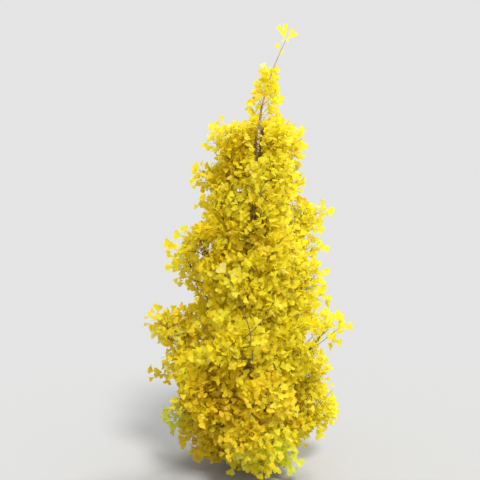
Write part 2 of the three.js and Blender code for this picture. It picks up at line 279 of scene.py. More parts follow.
@dataclass(frozen=True)
class LeafRule:
    """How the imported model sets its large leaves."""

    tip_share: float = 0.985
    side_shares: tuple[float, ...] = (0.85, 0.5)
    end_leaves: int = 3
    end_ahead: float = 3.0
    end_spread: float = 0.5
    length: float = 0.108
    width: float = 0.138
    middle: float = 0.6
    sink: float = 0.0012
    turns: int = 4
    scatter: float = 0.3
    faces_front: float = 0.6
    faces_up: float = 0.3
    size_jitter: float = 0.15
    apart: float = 0.062
    samples: int = 8
    seed: int = 400


@dataclass(frozen=True)
class SpaceRule:
    """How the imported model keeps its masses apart."""

    radius: float = 0.255
    gap: float = 0.009
    limb_clearance: float = 0.007
    ground_clearance: float = 0.090
    line_steps: int = 8


TRUNK = TrunkShape()
LIMBS = LimbRule()
LEADER = LeaderRule()
TWIGS = TwigRule()
LEAVES = LeafRule()
SPACE = SpaceRule()


@dataclass
class Course:
    """A curve that is read by its share of length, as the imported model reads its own.

    Its points are told by a parameter of its own from 0 to 1.
    """

    points: Callable[[Array], Array]

    DIVISIONS = 200
    NUDGE = 0.0001

    def __post_init__(self) -> None:
        """Measures the curve."""
        self.grid = np.linspace(0, 1, self.DIVISIONS + 1)
        steps = np.diff(self.points(self.grid), axis=0)
        self.lengths = np.concatenate([[0.0], np.cumsum(np.linalg.norm(steps, axis=1))])

    @classmethod
    def bend(cls, start: Array, bend: Array, end: Array) -> "Course":
        """A quadratic curve from a start, leaning towards a bend, to an end."""
        return cls(lambda where: bent(start, bend, end, where[:, None]))

    def stretch(self, first: float, last: float) -> "Course":
        """The stretch of the curve between two shares of its length."""
        return Course(lambda where: self.spaced(lerp(first, last, where)))

    @property
    def length(self) -> float:
        """The curve's length."""
        return float(self.lengths[-1])

    def parameter(self, shares: Array) -> Array:
        """The curve's own parameter at shares of its length."""
        return np.interp(np.asarray(shares, dtype=float) * self.length, self.lengths, self.grid)

    def at(self, share: float) -> Array:
        """The point at a share of the length."""
        return self.points(self.parameter(np.array([share])))[0]

    def spaced(self, shares: Array) -> Array:
        """Points at several shares of the length."""
        return self.points(self.parameter(shares))

    def tangent(self, where: float) -> Array:
        """The direction at a value of the curve's own parameter."""
        before, after = self.points(np.clip([where - self.NUDGE, where + self.NUDGE], 0, 1))
        return unit(after - before)

    def tangent_at(self, share: float) -> Array:
        """The direction at a share of the length."""
        return self.tangent(float(self.parameter(np.array([share]))[0]))


@dataclass
class Limb:
    """A limb's course from the trunk to its tip, with the mass that it carries."""

    label: str
    course: Course
    root_radius: float
    entry: float
    size: float
    middles: list[Array] = field(default_factory=list)

    def __post_init__(self) -> None:
        """Starts the mass's stem where its bough ends."""
        gap = LIMBS.seat_gap / self.course.length
        self.stem_from = self.entry + gap if self.entry > 0 else 0.0
        self.stem = self.course.stretch(self.stem_from, 1.0)

    def radius_at(self, share: Array) -> Array:
        """The limb's radius at a share of its length."""
        return lerp(self.root_radius, LIMBS.tip_radius, np.asarray(share) ** LIMBS.taper)

    @property
    def leader(self) -> bool:
        """Whether this is the shoot on the trunk's tip."""
        return self.label == "leader"


def limb_of(tier: Tier, number: int, k: int) -> Limb:
    """Works out one limb of a tier.

    Args:
        tier: The tier that it belongs to.
        number: The tier's number from the ground, from 1.
        k: The limb's place in the tier, from 0.

    Returns:
        The limb.
    """
    draws = Draws(LIMBS.seed + 10 * number + k)
    azimuth = math.radians(tier.turn + 360 * k / tier.limbs + LIMBS.turn_jitter * draws.evenly())
    to_right = (1 + math.cos(azimuth)) / 2
    reach = lerp(*tier.reach, to_right) * (1 + LIMBS.reach_jitter * draws.evenly())
    root_height = tier.root + LIMBS.root_step * (((2 * k) % tier.limbs) / 2 - (k % 2) / 2)
    tip_height = lerp(*tier.tips, to_right) + LIMBS.tip_jitter * draws.evenly()
    outward = level(azimuth)
    root = TRUNK.point(root_height)
    tip = TRUNK.point(tip_height) + outward * reach
    bend = root + outward * LIMBS.outward * reach
    bend[2] = lerp(root_height, tip_height, LIMBS.rise)
    return Limb(
        label=f"{number}_{k + 1}",
        course=Course.bend(root, bend, tip),
        root_radius=LIMBS.root_share * float(TRUNK.radius(root_height)),
        entry=tier.entry,
        size=lerp(LIMBS.size_at_foot, LIMBS.size_at_tip, tip_height / TRUNK.height),
    )


def leader_limb() -> Limb:
    """Works out the shoot on the trunk's tip, which rises straight on and bends to the right.

    Returns:
        The shoot.
    """
    ahead = Course(TRUNK.line).tangent(1.0)
    foot = TRUNK.point(TRUNK.height) + ahead * LIMBS.seat_gap
    bend = foot + ahead * LEADER.upright_share * LEADER.rise
    top = foot + np.array([LEADER.drift, 0.0, LEADER.rise])
    return Limb("leader", Course.bend(foot, bend, top), TRUNK.tip_radius, 0.0, 1.0)


@dataclass(frozen=True)
class LeafPlace:
    """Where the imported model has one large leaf, and a spray grows here."""

    root: Array
    along: Array
    normal: Array
    scale: float

    def samples(self) -> Array:
        """Spreads points over the large leaf's blade.

        Returns:
            The points, one to a row.
        """
        count = LEAVES.samples
        steps = [(i, j) for i in range(2, count + 1) for j in range(-i, i + 1, 2)]
        shares = np.array(steps) / count
        ahead = self.along * LEAVES.length * self.scale
        aside = np.cross(self.along, self.normal) * LEAVES.width * self.scale / 2
        return self.root + shares[:, :1] * ahead + shares[:, 1:] * aside


@dataclass(frozen=True)
class TwigPlace:
    """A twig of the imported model: its root on the stem, its tip, and the large leaves on it."""

    root: Array
    tip: Array
    leaves: tuple[LeafPlace, ...]


class Crown:
    """All limbs, with the space that each mass keeps to."""

    FIRST_ROOT = 0.15
    ROOTS = 24

    def __init__(self) -> None:
        """Works out every limb and the straight pieces that distances are measured to."""
        tiers = enumerate(LIMBS.tiers, start=1)
        self.limbs = [limb_of(tier, n, k) for n, tier in tiers for k in range(tier.limbs)]
        self.masses = [*self.limbs, leader_limb()]
        shares = np.linspace(0, 1, SPACE.line_steps + 1)
        corners = np.array([mass.course.spaced(shares) for mass in self.masses])
        self.starts = corners[:, :-1].reshape(-1, 3)
        self.runs = (corners[:, 1:] - corners[:, :-1]).reshape(-1, 3)
        self.boughs = [limb for limb in self.limbs if limb.entry]
        self.bough_lines = {
            bough.label: bough.course.stretch(0.0, bough.entry).spaced(shares)
            for bough in self.boughs
        }

    @staticmethod
    def line_distances(points: Array, starts: Array, runs: Array) -> Array:
        """Distances from points to straight pieces.

        Args:
            points: The points, one to a row.
            starts: Where each piece starts.
            runs: Each piece from its start to its end.

        Returns:
            One row for each point and one column for each piece.
        """
        away = points[:, None] - starts[None]
        share = np.clip(np.sum(away * runs, axis=2) / np.sum(runs * runs, axis=1), 0, 1)
        return np.linalg.norm(away - share[:, :, None] * runs, axis=2)

    @staticmethod
    def clear_of_trunk(points: Array, clearance: float) -> Array:
        """Finds the points that lie clear of the trunk.

        Args:
            points: The points, one to a row.
            clearance: The least distance from its bark.

        Returns:
            One true or false for each point.
        """
        height = points[:, 2]
        skin = TRUNK.radius(height) + TRUNK.flare_at(height, np.zeros(len(points)))
        away = np.hypot(*TRUNK.away(points).T)
        return (height > TRUNK.height + clearance) | (away > skin + clearance)

    def in_space(self, index: int, points: Array, gap: float, lowest: float) -> Array:
        """Which points lie in a mass's own space.

        Args:
            index: The mass's place in the list of masses.
            points: The points, one to a row.
            gap: How much nearer its own limb than any other a point has to be.
            lowest: The least height above the ground.

        Returns:
            One true or false for each point.
        """
        mass = self.masses[index]
        every = self.line_distances(points, self.starts, self.runs)
        every = every.reshape(len(points), len(self.masses), SPACE.line_steps).min(axis=2)
        own = every[:, index].copy()
        every[:, index] = np.inf
        fits = (points[:, 2] >= lowest) & (own <= SPACE.radius) & (every.min(axis=1) > own + gap)
        fits &= self.clear_of_trunk(points, SPACE.limb_clearance)
        if mass.entry > 0:
            line = self.bough_lines[mass.label]
            near = self.line_distances(points, line[:-1], np.diff(line, axis=0)).min(axis=1)
            fits &= near >= mass.root_radius + SPACE.limb_clearance
        return fits

    def line_of(self, index: int) -> tuple[Array, Array]:
        """The straight pieces of one mass's line: where each starts, and its run."""
        pieces = slice(index * SPACE.line_steps, (index + 1) * SPACE.line_steps)
        return self.starts[pieces], self.runs[pieces]

    def root_points(self) -> Array:
        """Points along every limb where a twig may start."""
        shares = np.linspace(self.FIRST_ROOT, 1, self.ROOTS)
        return np.concatenate([limb.course.spaced(shares) for limb in self.limbs])

    def keeps(self, index: int, points: Array) -> bool:
        """Whether every point keeps to a mass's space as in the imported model."""
        return bool(self.in_space(index, points, SPACE.gap, SPACE.ground_clearance).all())


@dataclass
class GrowthRule:
    """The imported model's rule for one mass: which twigs and large leaves found room."""

    crown: Crown
    index: int

    def __post_init__(self) -> None:
        """Starts the mass's own stream of numbers."""
        self.mass = self.crown.masses[self.index]
        self.draws = Draws(LEAVES.seed + self.index)

    def leaf(self, point: Array, towards: Array, size: float) -> list[LeafPlace]:
        """Finds room for one large leaf.

        Args:
            point: Where it grows from.
            towards: Where it points.
            size: Its size.

        Returns:
            The leaf's place, or nothing where there is no room.
        """
        draws = self.draws
        for turn in range(1, LEAVES.turns + 1):
            scatter = draws.triple()
            along = unit(unit(towards) + scatter * LEAVES.scatter * turn)
            facing = draws.triple() + np.array([0.0, -LEAVES.faces_front, LEAVES.faces_up])
            normal = unit(facing - along * np.dot(facing, along))
            scale = size * (1 + LEAVES.size_jitter * draws.evenly())
            root = point - along * LEAVES.sink
            middle = root + along * LEAVES.middle * LEAVES.length * scale
            apart = [np.linalg.norm(other - middle) for other in self.mass.middles]
            crowded = any(distance < LEAVES.apart * size for distance in apart)
            place = LeafPlace(root, along, normal, scale)
            if not crowded and self.crown.keeps(self.index, place.samples()):
                self.mass.middles.append(middle)
                return [place]
        return []

    def twig(self, point: Array, towards: Array, length: float, size: float) -> list[TwigPlace]:
        """Finds room for one twig and its large leaves.

        Args:
            point: Its root on the stem.
            towards: Where it points.
            length: Its length before it lifts.
            size: Its leaves' size.

        Returns:
            The twig, or nothing where it would leave the space or stay bare.
        """
        tip = point + towards * length + UP * TWIGS.lift * length
        shares = np.arange(TWIGS.root_samples, TWIGS.samples + 1)[:, None] / TWIGS.samples
        if not self.crown.keeps(self.index, point + shares * (tip - point)):
            return []
        ahead = unit(tip - point)
        sideways = unit(np.cross(ahead, UP))
        leaves = self.leaf(point + LEAVES.tip_share * (tip - point), ahead, size)
        for share in LEAVES.side_shares:
            sideways = -sideways
            leaves += self.leaf(point + share * (tip - point), ahead + sideways, size)
        return [TwigPlace(point, tip, tuple(leaves))] if leaves else []

    def heading(self, share: float, k: float) -> Array:
        """The direction of the k-th twig round the stem, leaning out from the stem's own."""
        tangent = self.mass.stem.tangent_at(share)
        return unit(tangent + spoke_at(tangent, GOLDEN_ANGLE * k) * TWIGS.spread)

    def grown(self) -> tuple[list[LeafPlace], list[TwigPlace]]:
        """The large leaves at the stem's end, and the twigs along the stem."""
        return self.leader_growth() if self.mass.leader else self.limb_growth()

    def limb_growth(self) -> tuple[list[LeafPlace], list[TwigPlace]]:
        """Grows what stands on a limb.

        Returns:
            The large leaves at the stem's end, and the twigs.
        """
        mass = self.mass
        leaves: list[LeafPlace] = []
        twigs: list[TwigPlace] = []
        for k in range(LEAVES.end_leaves):
            lean = LEAVES.end_spread if k else LEAVES.end_ahead
            heading = self.heading(1.0, k) + mass.stem.tangent_at(1.0) * lean
            leaves += self.leaf(mass.stem.at(LEAVES.tip_share), heading, mass.size)
        first = TWIGS.first_on_bough if mass.entry > 0 else TWIGS.first_on_trunk
        for k in range(TWIGS.per_mass):
            share = lerp(first, TWIGS.last, k / (TWIGS.per_mass - 1))
            heading = self.heading(share, k)
            length = mass.size * lerp(*TWIGS.lengths, share)
            length *= 1 + TWIGS.length_jitter * self.draws.evenly()
            twigs += self.twig(mass.stem.at(share), heading, length, mass.size)
        return leaves, twigs

    def leader_growth(self) -> tuple[list[LeafPlace], list[TwigPlace]]:
        """Grows what stands on the leader: two top leaves, short twigs, and a weak side shoot.

        Returns:
            The top leaves, and the twigs with the side shoot as the last of them.
        """
        stem = self.mass.stem
        leaves: list[LeafPlace] = []
        twigs: list[TwigPlace] = []
        for side in (-1, 1):
            heading = np.array([side * LEADER.top_spread, 0.0, 1.0])
            leaves += self.leaf(stem.at(LEAVES.tip_share), heading, LEADER.top_leaf)
        for k in range(LEADER.twigs):
            along = k / (LEADER.twigs - 1)
            share = lerp(*LEADER.leafy_shares, along)
            length = lerp(*LEADER.twig_lengths, along)
            twigs += self.twig(stem.at(share), self.heading(share, k), length, LEADER.twig_leaf)
        fork = stem.at(LEADER.side_share)
        end = fork + np.array([LEADER.side_drift, 0.0, LEADER.side_rise])
        twigs.append(TwigPlace(fork, end, tuple(self.leaf(end, UP, LEADER.side_leaf))))
        return leaves, twigs


class Tint(Enum):
    """The colours that sprays are dealt, as plain base colours: autumn tints, some of them painted
    light and shade.
    """

    LEMON = "lemon"
    GOLD = "gold"
    DEEP_GOLD = "deep_gold"
    AMBER = "amber"
    GREENISH = "greenish"
    LIME = "lime"
    PALE = "pale"


TINTS = list(Tint)


class NodeMaterial:
    """A material that is built up node by node."""

    def __init__(self, name: str) -> None:
        """Starts a material without nodes.

        Args:
            name: The material's name.
        """
        self.material = bpy.data.materials.new(name)
        self.material.use_nodes = True
        self.material.node_tree.nodes.clear()

    def add(self, kind: str, *inputs: tuple[str | int, object]) -> bpy.types.Node:
        """Adds one node.

        Args:
            kind: The node's type.
            inputs: Input sockets, each with its value or with the output socket that it reads.

        Returns:
            The new node.
        """
        tree = self.material.node_tree
        node = tree.nodes.new(kind)
        for socket, value in inputs:
            if isinstance(value, Socket):
                tree.links.new(value, node.inputs[socket])
            else:
                node.inputs[socket].default_value = value
        return node

    def ramp(self, source: Socket, *stops: tuple[float, Vector3]) -> Socket:
        """Adds a ramp between two colours.

        Args:
            source: The output socket that is read.
            stops: The two values where the colours stand, each with its colour.

        Returns:
            The ramp's colour.
        """
        node = self.add("ShaderNodeValToRGB", ("Fac", source))
        for stop, (position, colour) in zip(node.color_ramp.elements, stops):
            stop.position = position
            stop.color = (*colour, 1.0)
        return node.outputs["Color"]

    def skin(self, colour: Socket, roughness: float, specular: float, *bump: object) -> Socket:
        """Adds the reflecting surface.

        Args:
            colour: Its colour.
            roughness: Its roughness.
            specular: Its shine.
            bump: Its bump's heights, strength and depth.

        Returns:
            The surface.
        """
        relief = self.add("ShaderNodeBump", *zip(("Height", "Strength", "Distance"), bump))
        inputs = ("Base Color", colour), ("Roughness", roughness), ("Specular IOR Level", specular)
        normal = ("Normal", relief.outputs["Normal"])
        return self.add("ShaderNodeBsdfPrincipled", *inputs, normal).outputs["BSDF"]

    def finished(self, surface: Socket) -> bpy.types.Material:
        """Links the surface to the material's output, and gives the material."""
        self.add("ShaderNodeOutputMaterial", ("Surface", surface))
        return self.material


@dataclass(frozen=True)
class Deal:
    """How often a tint is dealt: everywhere, and more to the right, high up, deep in and low; the
    right and deep weights paint light and shade.
    """

    always: float = 0.0
    right: float = 0.0
    high: float = 0.0
    deep: float = 0.0
    low: float = 0.0

    def weight(self, right: float, high: float, deep: float, low: float) -> float:
        """The tint's weight at a place."""
        weight = self.always + self.right * right + self.high * high
        return weight + self.deep * deep + self.low * low


@dataclass(frozen=True)
class LeafFinish:
    """A tint's blade: its colour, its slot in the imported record, and how much light it lets by."""

    tint: Tint
    colour: Vector3
    slot: str
    deal: Deal = Deal()
    through: float = 0.60
    roughness: float = 0.46
    specular: float = 0.32
    vein_lines: float = 26.0
    vein_depth: float = 0.12
    vein_height: float = 0.0004
    mottle_scale: float = 38.0
    mottle_detail: float = 2.0
    mottle_from: float = 0.2
    mottle_to: float = 0.59
    mottle_tone: Vector3 = (0.88, 0.80, 0.60)

    def material(self) -> bpy.types.Material:
        """Builds the leaf's material: mottled, with fine veins, and lit from behind too.

        Returns:
            The material.
        """
        made = NodeMaterial(f"leaf_{self.tint.value}")
        place = made.add("ShaderNodeTexCoord").outputs["Object"]
        scale, detail = ("Scale", self.mottle_scale), ("Detail", self.mottle_detail)
        mottle = made.add("ShaderNodeTexNoise", ("Vector", place), scale, detail)
        deeper = tuple(c * f for c, f in zip(self.colour, self.mottle_tone))
        stops = (self.mottle_from, deeper), (self.mottle_to, self.colour)
        colour = made.ramp(mottle.outputs["Fac"], *stops)
        fan = made.add("ShaderNodeUVMap")
        fan.uv_map = "fan"
        across = made.add("ShaderNodeSeparateXYZ", ("Vector", fan.outputs["UV"])).outputs["X"]
        turns = made.add("ShaderNodeMath", (0, across), (1, self.vein_lines * 2 * math.pi))
        turns.operation = "MULTIPLY"
        veins = made.add("ShaderNodeMath", (0, turns.outputs["Value"]))
        veins.operation = "SINE"
        bump = veins.outputs["Value"], self.vein_depth, self.vein_height
        skin = made.skin(colour, self.roughness, self.specular, *bump)
        glow = made.add("ShaderNodeBsdfTranslucent", ("Color", colour)).outputs["BSDF"]
        mix = made.add("ShaderNodeMixShader", ("Fac", self.through), (1, skin), (2, glow))
        return made.finished(mix.outputs["Shader"])


LEAF_FINISHES = (
    # Lemon is dealt more on the right, where the key light falls, as painted sunlit colour, and more
    # high up; gold more on the left, as painted shade.
    LeafFinish(Tint.LEMON, (0.91, 0.85, 0.048), "foliage_lemon", Deal(0.95, 0.78, 0.30)),
    LeafFinish(Tint.GOLD, (0.90, 0.76, 0.022), "foliage_gold", Deal(0.75, -0.40, low=0.25)),
    # Darker gold that lets less light by, dealt deep inside the crown and lower down: painted shade.
    LeafFinish(
        Tint.DEEP_GOLD,
        (0.80, 0.61, 0.018),
        "foliage_gold",
        Deal(0.06, deep=2.0, low=0.30),
        through=0.44,
    ),
    LeafFinish(Tint.AMBER, (0.78, 0.55, 0.040), "foliage_gold", Deal(low=0.06), through=0.42),
    LeafFinish(Tint.GREENISH, (0.72, 0.75, 0.110), "foliage_gold", Deal(low=0.06)),
    LeafFinish(Tint.LIME, (0.84, 0.88, 0.080), "foliage_lemon"),
    # Near-white yellow leaves, dealt here and there: painted highlights.
    LeafFinish(Tint.PALE, (0.94, 0.91, 0.280), "foliage_lemon"),
)


@dataclass(frozen=True)
class BarkFinish:
    """Bark: ridges with darker furrows between them."""

    name: str
    ridge: Vector3
    furrow: Vector3
    streak_scale: float
    bump: float
    roughness: float = 0.86
    specular: float = 0.2
    streak_detail: float = 8.0
    streak_roughness: float = 0.62
    stretch: float = 0.16
    furrow_to: float = 0.36
    ridge_from: float = 0.62
    relief: float = 0.002

    def material(self) -> bpy.types.Material:
        """Builds the bark's material, with streaks along the limb.

        Returns:
            The material.
        """
        made = NodeMaterial(self.name)
        place = made.add("ShaderNodeTexCoord").outputs["Object"]
        scale = ("Scale", (1.0, 1.0, self.stretch))
        stretched = made.add("ShaderNodeMapping", ("Vector", place), scale).outputs["Vector"]
        scale, detail = ("Scale", self.streak_scale), ("Detail", self.streak_detail)
        inputs = ("Vector", stretched), scale, detail, ("Roughness", self.streak_roughness)
        streaks = made.add("ShaderNodeTexNoise", *inputs).outputs["Fac"]
        colour = made.ramp(streaks, (self.furrow_to, self.furrow), (self.ridge_from, self.ridge))
        bump = streaks, self.bump, self.relief
        return made.finished(made.skin(colour, self.roughness, self.specular, *bump))


# The bark's ridges and furrows are lighter than its own grey-brown, to make up for the leaves' shade
# on the trunk: partly painted light.
TRUNK_BARK = BarkFinish("trunk_bark", (0.80, 0.69, 0.55), (0.54, 0.45, 0.35), 95.0, 0.5)
LEADER_BARK = BarkFinish("leader_bark", (0.48, 0.35, 0.21), (0.25, 0.17, 0.09), 150.0, 0.35)
# The twigs' dark brown is darkened further so that they add dark accents between the leaves: partly
# painted shade.
TWIG_BARK = BarkFinish("twig_bark", (0.17, 0.105, 0.055), (0.08, 0.048, 0.025), 150.0, 0.35)


def ring_frames(points: Array) -> tuple[Array, Array]:
    """Two directions across a middle line at each point, which turn as little as they can.

    Args:
        points: The middle line, one point to a row.

    Returns:
        The two directions, one row for each point.
    """
    tangents = unit(np.gradient(points, axis=0))
    across = [0.0, 1.0, 0.0] if abs(tangents[0][1]) < NEARLY_ALONG_Y else [1.0, 0.0, 0.0]
    sides = [unit(np.cross(tangents[0], across))]
    for tangent in tangents[1:]:
        sides.append(unit(sides[-1] - tangent * np.dot(sides[-1], tangent)))
    side = np.array(sides)
    return side, np.cross(tangents, side)


def ring_corners(points: Array, radii: Array) -> Array:
    """Rings of corners round a middle line.

    Args:
        points: The middle line, one point to a row.
        radii: The radius of each corner, with one row for each point.

    Returns:
        The corners, by ring and then by side.
    """
    side, other = ring_frames(points)
    angles = np.linspace(0, 2 * np.pi, radii.shape[1], endpoint=False)[None, :, None]
    spokes = np.cos(angles) * side[:, None] + np.sin(angles) * other[:, None]
    return points[:, None] + spokes * radii[:, :, None]


def ring_faces(rings: int, sides: int) -> Array:
    """Triangles between neighbouring rings of corners.

    Args:
        rings: How many rings there are.
        sides: How many corners a ring has.

    Returns:
        The triangles, one to a row.
    """
    ring, side = np.meshgrid(np.arange(rings - 1), np.arange(sides), indexing="ij")
    a = (ring * sides + side).ravel()
    b = (ring * sides + (side + 1) % sides).ravel()
    halves = (a, b, b + sides), (a, b + sides, a + sides)
    return np.concatenate([np.stack(half, axis=1) for half in halves])


@dataclass
class MeshParts:
    """Corners and faces gathered for one joined mesh."""

    corners: list[Array] = field(default_factory=list)
    faces: list[Array] = field(default_factory=list)
    fans: list[Array] = field(default_factory=list)
    count: int = 0

    def add(self, corners: Array, faces: Array, fan: Array | None = None) -> None:
        """Adds corners with the faces between them.

        Args:
            corners: The new corners, one to a row.
            faces: Triangles, counted from the first new corner.
            fan: Each corner's place on the leaf, if it has one.
        """
        self.corners.append(corners)
        self.faces.append(faces + self.count)
        self.fans.append(np.zeros((len(corners), 2)) if fan is None else fan)
        self.count += len(corners)

    def tube(self, points: Array, radii: Array, sides: int) -> None:
        """Adds a round tapering limb along points, pointed at its far end.

        Args:
            points: The middle line, one point to a row.
            radii: The radius at each point.
            sides: How many sides the section has.
        """
        corners = ring_corners(points, np.repeat(radii[:, None], sides, axis=1)).reshape(-1, 3)
        last = len(corners) - sides + np.arange(sides)
        cap = np.stack([np.full(sides, len(corners)), last, np.roll(last, -1)], axis=1)
        point = points[-1:] + unit(points[-1:] - points[-2:-1]) * radii[-1]
        faces = np.concatenate([ring_faces(len(points), sides), cap])
        self.add(np.concatenate([corners, point]), faces)

    def build(self, name: str, material: bpy.types.Material, slot: str) -> bpy.types.Object:
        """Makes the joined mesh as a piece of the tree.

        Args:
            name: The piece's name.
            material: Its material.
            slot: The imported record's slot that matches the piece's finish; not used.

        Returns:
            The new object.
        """
        corners = np.concatenate(self.corners)
        faces = np.concatenate(self.faces).astype(np.int32)
        fan = np.concatenate(self.fans)[faces.ravel()]
        mesh = bpy.data.meshes.new(name)
        mesh.vertices.add(len(corners))
        mesh.vertices.foreach_set("co", corners.astype(np.float32).ravel())
        mesh.loops.add(3 * len(faces))
        mesh.loops.foreach_set("vertex_index", faces.ravel())
        mesh.polygons.add(len(faces))
        mesh.polygons.foreach_set("loop_start", np.arange(0, 3 * len(faces), 3, dtype=np.int32))
        mesh.polygons.foreach_set("use_smooth", np.ones(len(faces), dtype=bool))
        mesh.update(calc_edges=True)
        mesh.uv_layers.new(name="fan").data.foreach_set("uv", fan.astype(np.float32).ravel())
        mesh.materials.append(material)
        piece = bpy.data.objects.new(name, mesh)
        bpy.context.scene.collection.objects.link(piece)
        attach(piece, "root")
        log.info("%s: %d triangles", name, len(faces))
        return piece


@dataclass
class BarkedLimbs:
    """The trunk and boughs with the bark's relief."""

    crown: Crown
    trunk_sides: int = 48
    trunk_rings: int = 520
    trunk_turns: float = 60.0
    trunk_ridge: float = 0.0011
    ridge_fade: float = 0.5
    bough_sides: int = 16
    bough_rings: int = 44
    bough_turns: float = 16.0
    bough_relief: float = 0.05
    collar: float = 0.55
    collar_share: float = 0.1
    ridges: tuple[tuple[int, float], ...] = ((3, 0.3), (7, 0.35), (11, 0.3), (17, 0.25))
    wander_turns: Pair = (1.7, 4.1)
    second_wander: float = 0.6
    wander: float = 1.4
    grain: float = 0.25
    seed: int = 77

    def __post_init__(self) -> None:
        """Starts the stream that the relief is drawn from."""
        self.random = np.random.RandomState(self.seed)

    def relief(self, sides: int, rings: int, turns: float) -> Array:
        """Long shallow ridges that wander along a limb.

        Args:
            sides: How many corners a ring has.
            rings: How many rings there are.
            turns: How quickly the ridges change along the limb.

        Returns:
            Heights of about -1 to 1, by ring and then by side.
        """
        angle = np.linspace(0, 2 * np.pi, sides, endpoint=False)[None]
        along = np.linspace(0, 1, rings)[:, None] * turns
        height = np.zeros((rings, sides))
        for count, weight in self.ridges:
            phase = self.random.uniform(0, 2 * np.pi, 3)
            first, second = (np.sin(along * w + p) for w, p in zip(self.wander_turns, phase))
            wander = (first + self.second_wander * second) * self.wander
            height += weight * np.sin(count * angle + wander + phase[2])
        return height + self.grain * self.random.uniform(-1, 1, (rings, sides))

    def trunk(self) -> None:
        """Builds the trunk from its flat cut to its tip."""
        sides = self.trunk_sides
        share = np.linspace(0, 1, self.trunk_rings)
        points = TRUNK.line(share)
        height = points[:, 2:3]
        angle = np.linspace(0, 2 * np.pi, sides, endpoint=False)[None]
        depth = self.trunk_ridge * (1 - self.ridge_fade * share[:, None])
        radii = TRUNK.radius(height) + TRUNK.flare_at(height, angle)
        radii = radii + depth * self.relief(sides, self.trunk_rings, self.trunk_turns)
        corners = ring_corners(points, radii)
        corners[0, :, 2] = 0.0
        parts = MeshParts()
        parts.add(corners.reshape(-1, 3), ring_faces(self.trunk_rings, sides))
        step = np.arange(sides)
        cap = np.stack([step, np.roll(step, -1), np.full(sides, sides)], axis=1)
        parts.add(np.concatenate([corners[0], np.zeros((1, 3))]), cap[:, ::-1])
        parts.add(np.concatenate([corners[-1], points[-1:]]), cap)
        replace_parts(parts.build("trunk_bark", TRUNK_BARK.material(), "bark"), "trunk")

    def boughs(self) -> None:
        """Builds every bough, with a collar where it leaves the trunk."""
        parts = MeshParts()
        boughs = self.crown.boughs
        for limb in boughs:
            share = np.linspace(0, limb.entry, self.bough_rings)
            collar = 1 + self.collar * np.exp(-share / (self.collar_share * limb.entry))
            relief = self.relief(self.bough_sides, self.bough_rings, self.bough_turns)
            radii = (limb.radius_at(share) * collar)[:, None] * (1 + self.bough_relief * relief)
            corners = ring_corners(limb.course.spaced(share), radii)
            parts.add(corners.reshape(-1, 3), ring_faces(self.bough_rings, self.bough_sides))
        piece = parts.build("bough_bark", TRUNK_BARK.material(), "bark")
        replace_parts(piece, *(f"bough_{limb.label}" for limb in boughs))

    def build(self) -> None:
        """Builds the trunk and the boughs."""
        self.trunk()
        self.boughs()


@dataclass(frozen=True)
class FanBlade:
    """One shape of ginkgo blade, one unit long, with its base at the origin."""

    half_angle: float
    notch: float
    wave: float
    cup: float
    droop: float
    inner: int = 5

    INNER_RADIUS = 0.5
    INNER_SPREAD = 0.84
    NOTCH_WIDTH = 0.22
    SHOULDER = 0.08
    SCALLOP = 0.05
    SCALLOPS = 9
    WAVES = 5.0

    def radius(self, angle: float) -> float:
        """How far the blade's edge lies from its base at an angle from -1 to 1."""
        cleft = self.notch * max(0.0, 1 - abs(angle) / self.NOTCH_WIDTH)
        return 1 - self.SHOULDER * angle**2 + self.SCALLOP * math.cos(angle * self.SCALLOPS) - cleft

    def corners(self) -> tuple[Array, Array]:
        """The blade's corners, and each one's place on the fan.

        Returns:
            The corners as along, across and up, and the places.
        """
        spread = np.linspace(-self.INNER_SPREAD, self.INNER_SPREAD, self.inner)
        rows = [(0.0, 0.0), *((angle, self.INNER_RADIUS) for angle in spread)]
        rows += [(angle, self.radius(angle)) for angle in np.linspace(-1, 1, 2 * self.inner - 1)]
        angle, radius = np.array(rows).T
        turn = angle * math.radians(self.half_angle)
        along = radius * np.cos(turn)
        across = radius * np.sin(turn)
        wave = self.wave * radius**2 * np.sin(angle * self.WAVES)
        lift = self.cup * across**2 - self.droop * along**2 + wave
        place = np.stack([angle / 2 + 0.5, radius], axis=1)
        return np.stack([along, across, lift], axis=1), place

    def faces(self) -> Array:
        """Joins the base, the inner row and the outer row of corners.

        Returns:
            The blade's triangles.
        """
        inner = range(1, 1 + self.inner)
        outer = range(1 + self.inner, 3 * self.inner)
        made = [(0, outer[0], inner[0]), (0, inner[-1], outer[-1])]
        for i in range(self.inner - 1):
            made += [
                (0, inner[i], inner[i + 1]),
                (inner[i], outer[2 * i], outer[2 * i + 1]),
                (inner[i], outer[2 * i + 1], inner[i + 1]),
                (inner[i + 1], outer[2 * i + 1], outer[2 * i + 2]),
            ]
        return np.array(made)


class Blade(IntEnum):
    """The blades' shapes: those before DEEP are dealt at random, and PLAIN ones lie deep inside."""

    USUAL = 0
    WAVY = 1
    NARROW = 2
    WIDE = 3
    DEEP = 4
    PLAIN = 5


BLADES = {
    Blade.USUAL: FanBlade(36, 0.18, 0.05, 0.35, 0.10),
    Blade.WAVY: FanBlade(42, 0.26, -0.06, 0.22, 0.20),
    Blade.NARROW: FanBlade(29, 0.12, 0.04, 0.50, 0.04),
    Blade.WIDE: FanBlade(46, 0.32, 0.07, 0.18, 0.26),
    Blade.DEEP: FanBlade(27, 0.55, 0.02, 0.20, 0.00),
    Blade.PLAIN: FanBlade(38, 0.20, 0.03, 0.30, 0.12, inner=3),
}


def seen_from_front(points: Array) -> tuple[Array, Array]:
    """Where points are seen from the front: how far across and how high, in the trunk's plane."""
    scale = -EYE[1] / (points[:, 1] - EYE[1])
    return EYE[0] + (points[:, 0] - EYE[0]) * scale, EYE[2] + (points[:, 2] - EYE[2]) * scale


def behind_sight(x: float, z: float, depth: float) -> Array:
    """The point at a depth behind the trunk's plane that is seen at a place in that plane."""
    scale = (depth - EYE[1]) / -EYE[1]
    return np.array([EYE[0] + (x - EYE[0]) * scale, depth, EYE[2] + (z - EYE[2]) * scale])


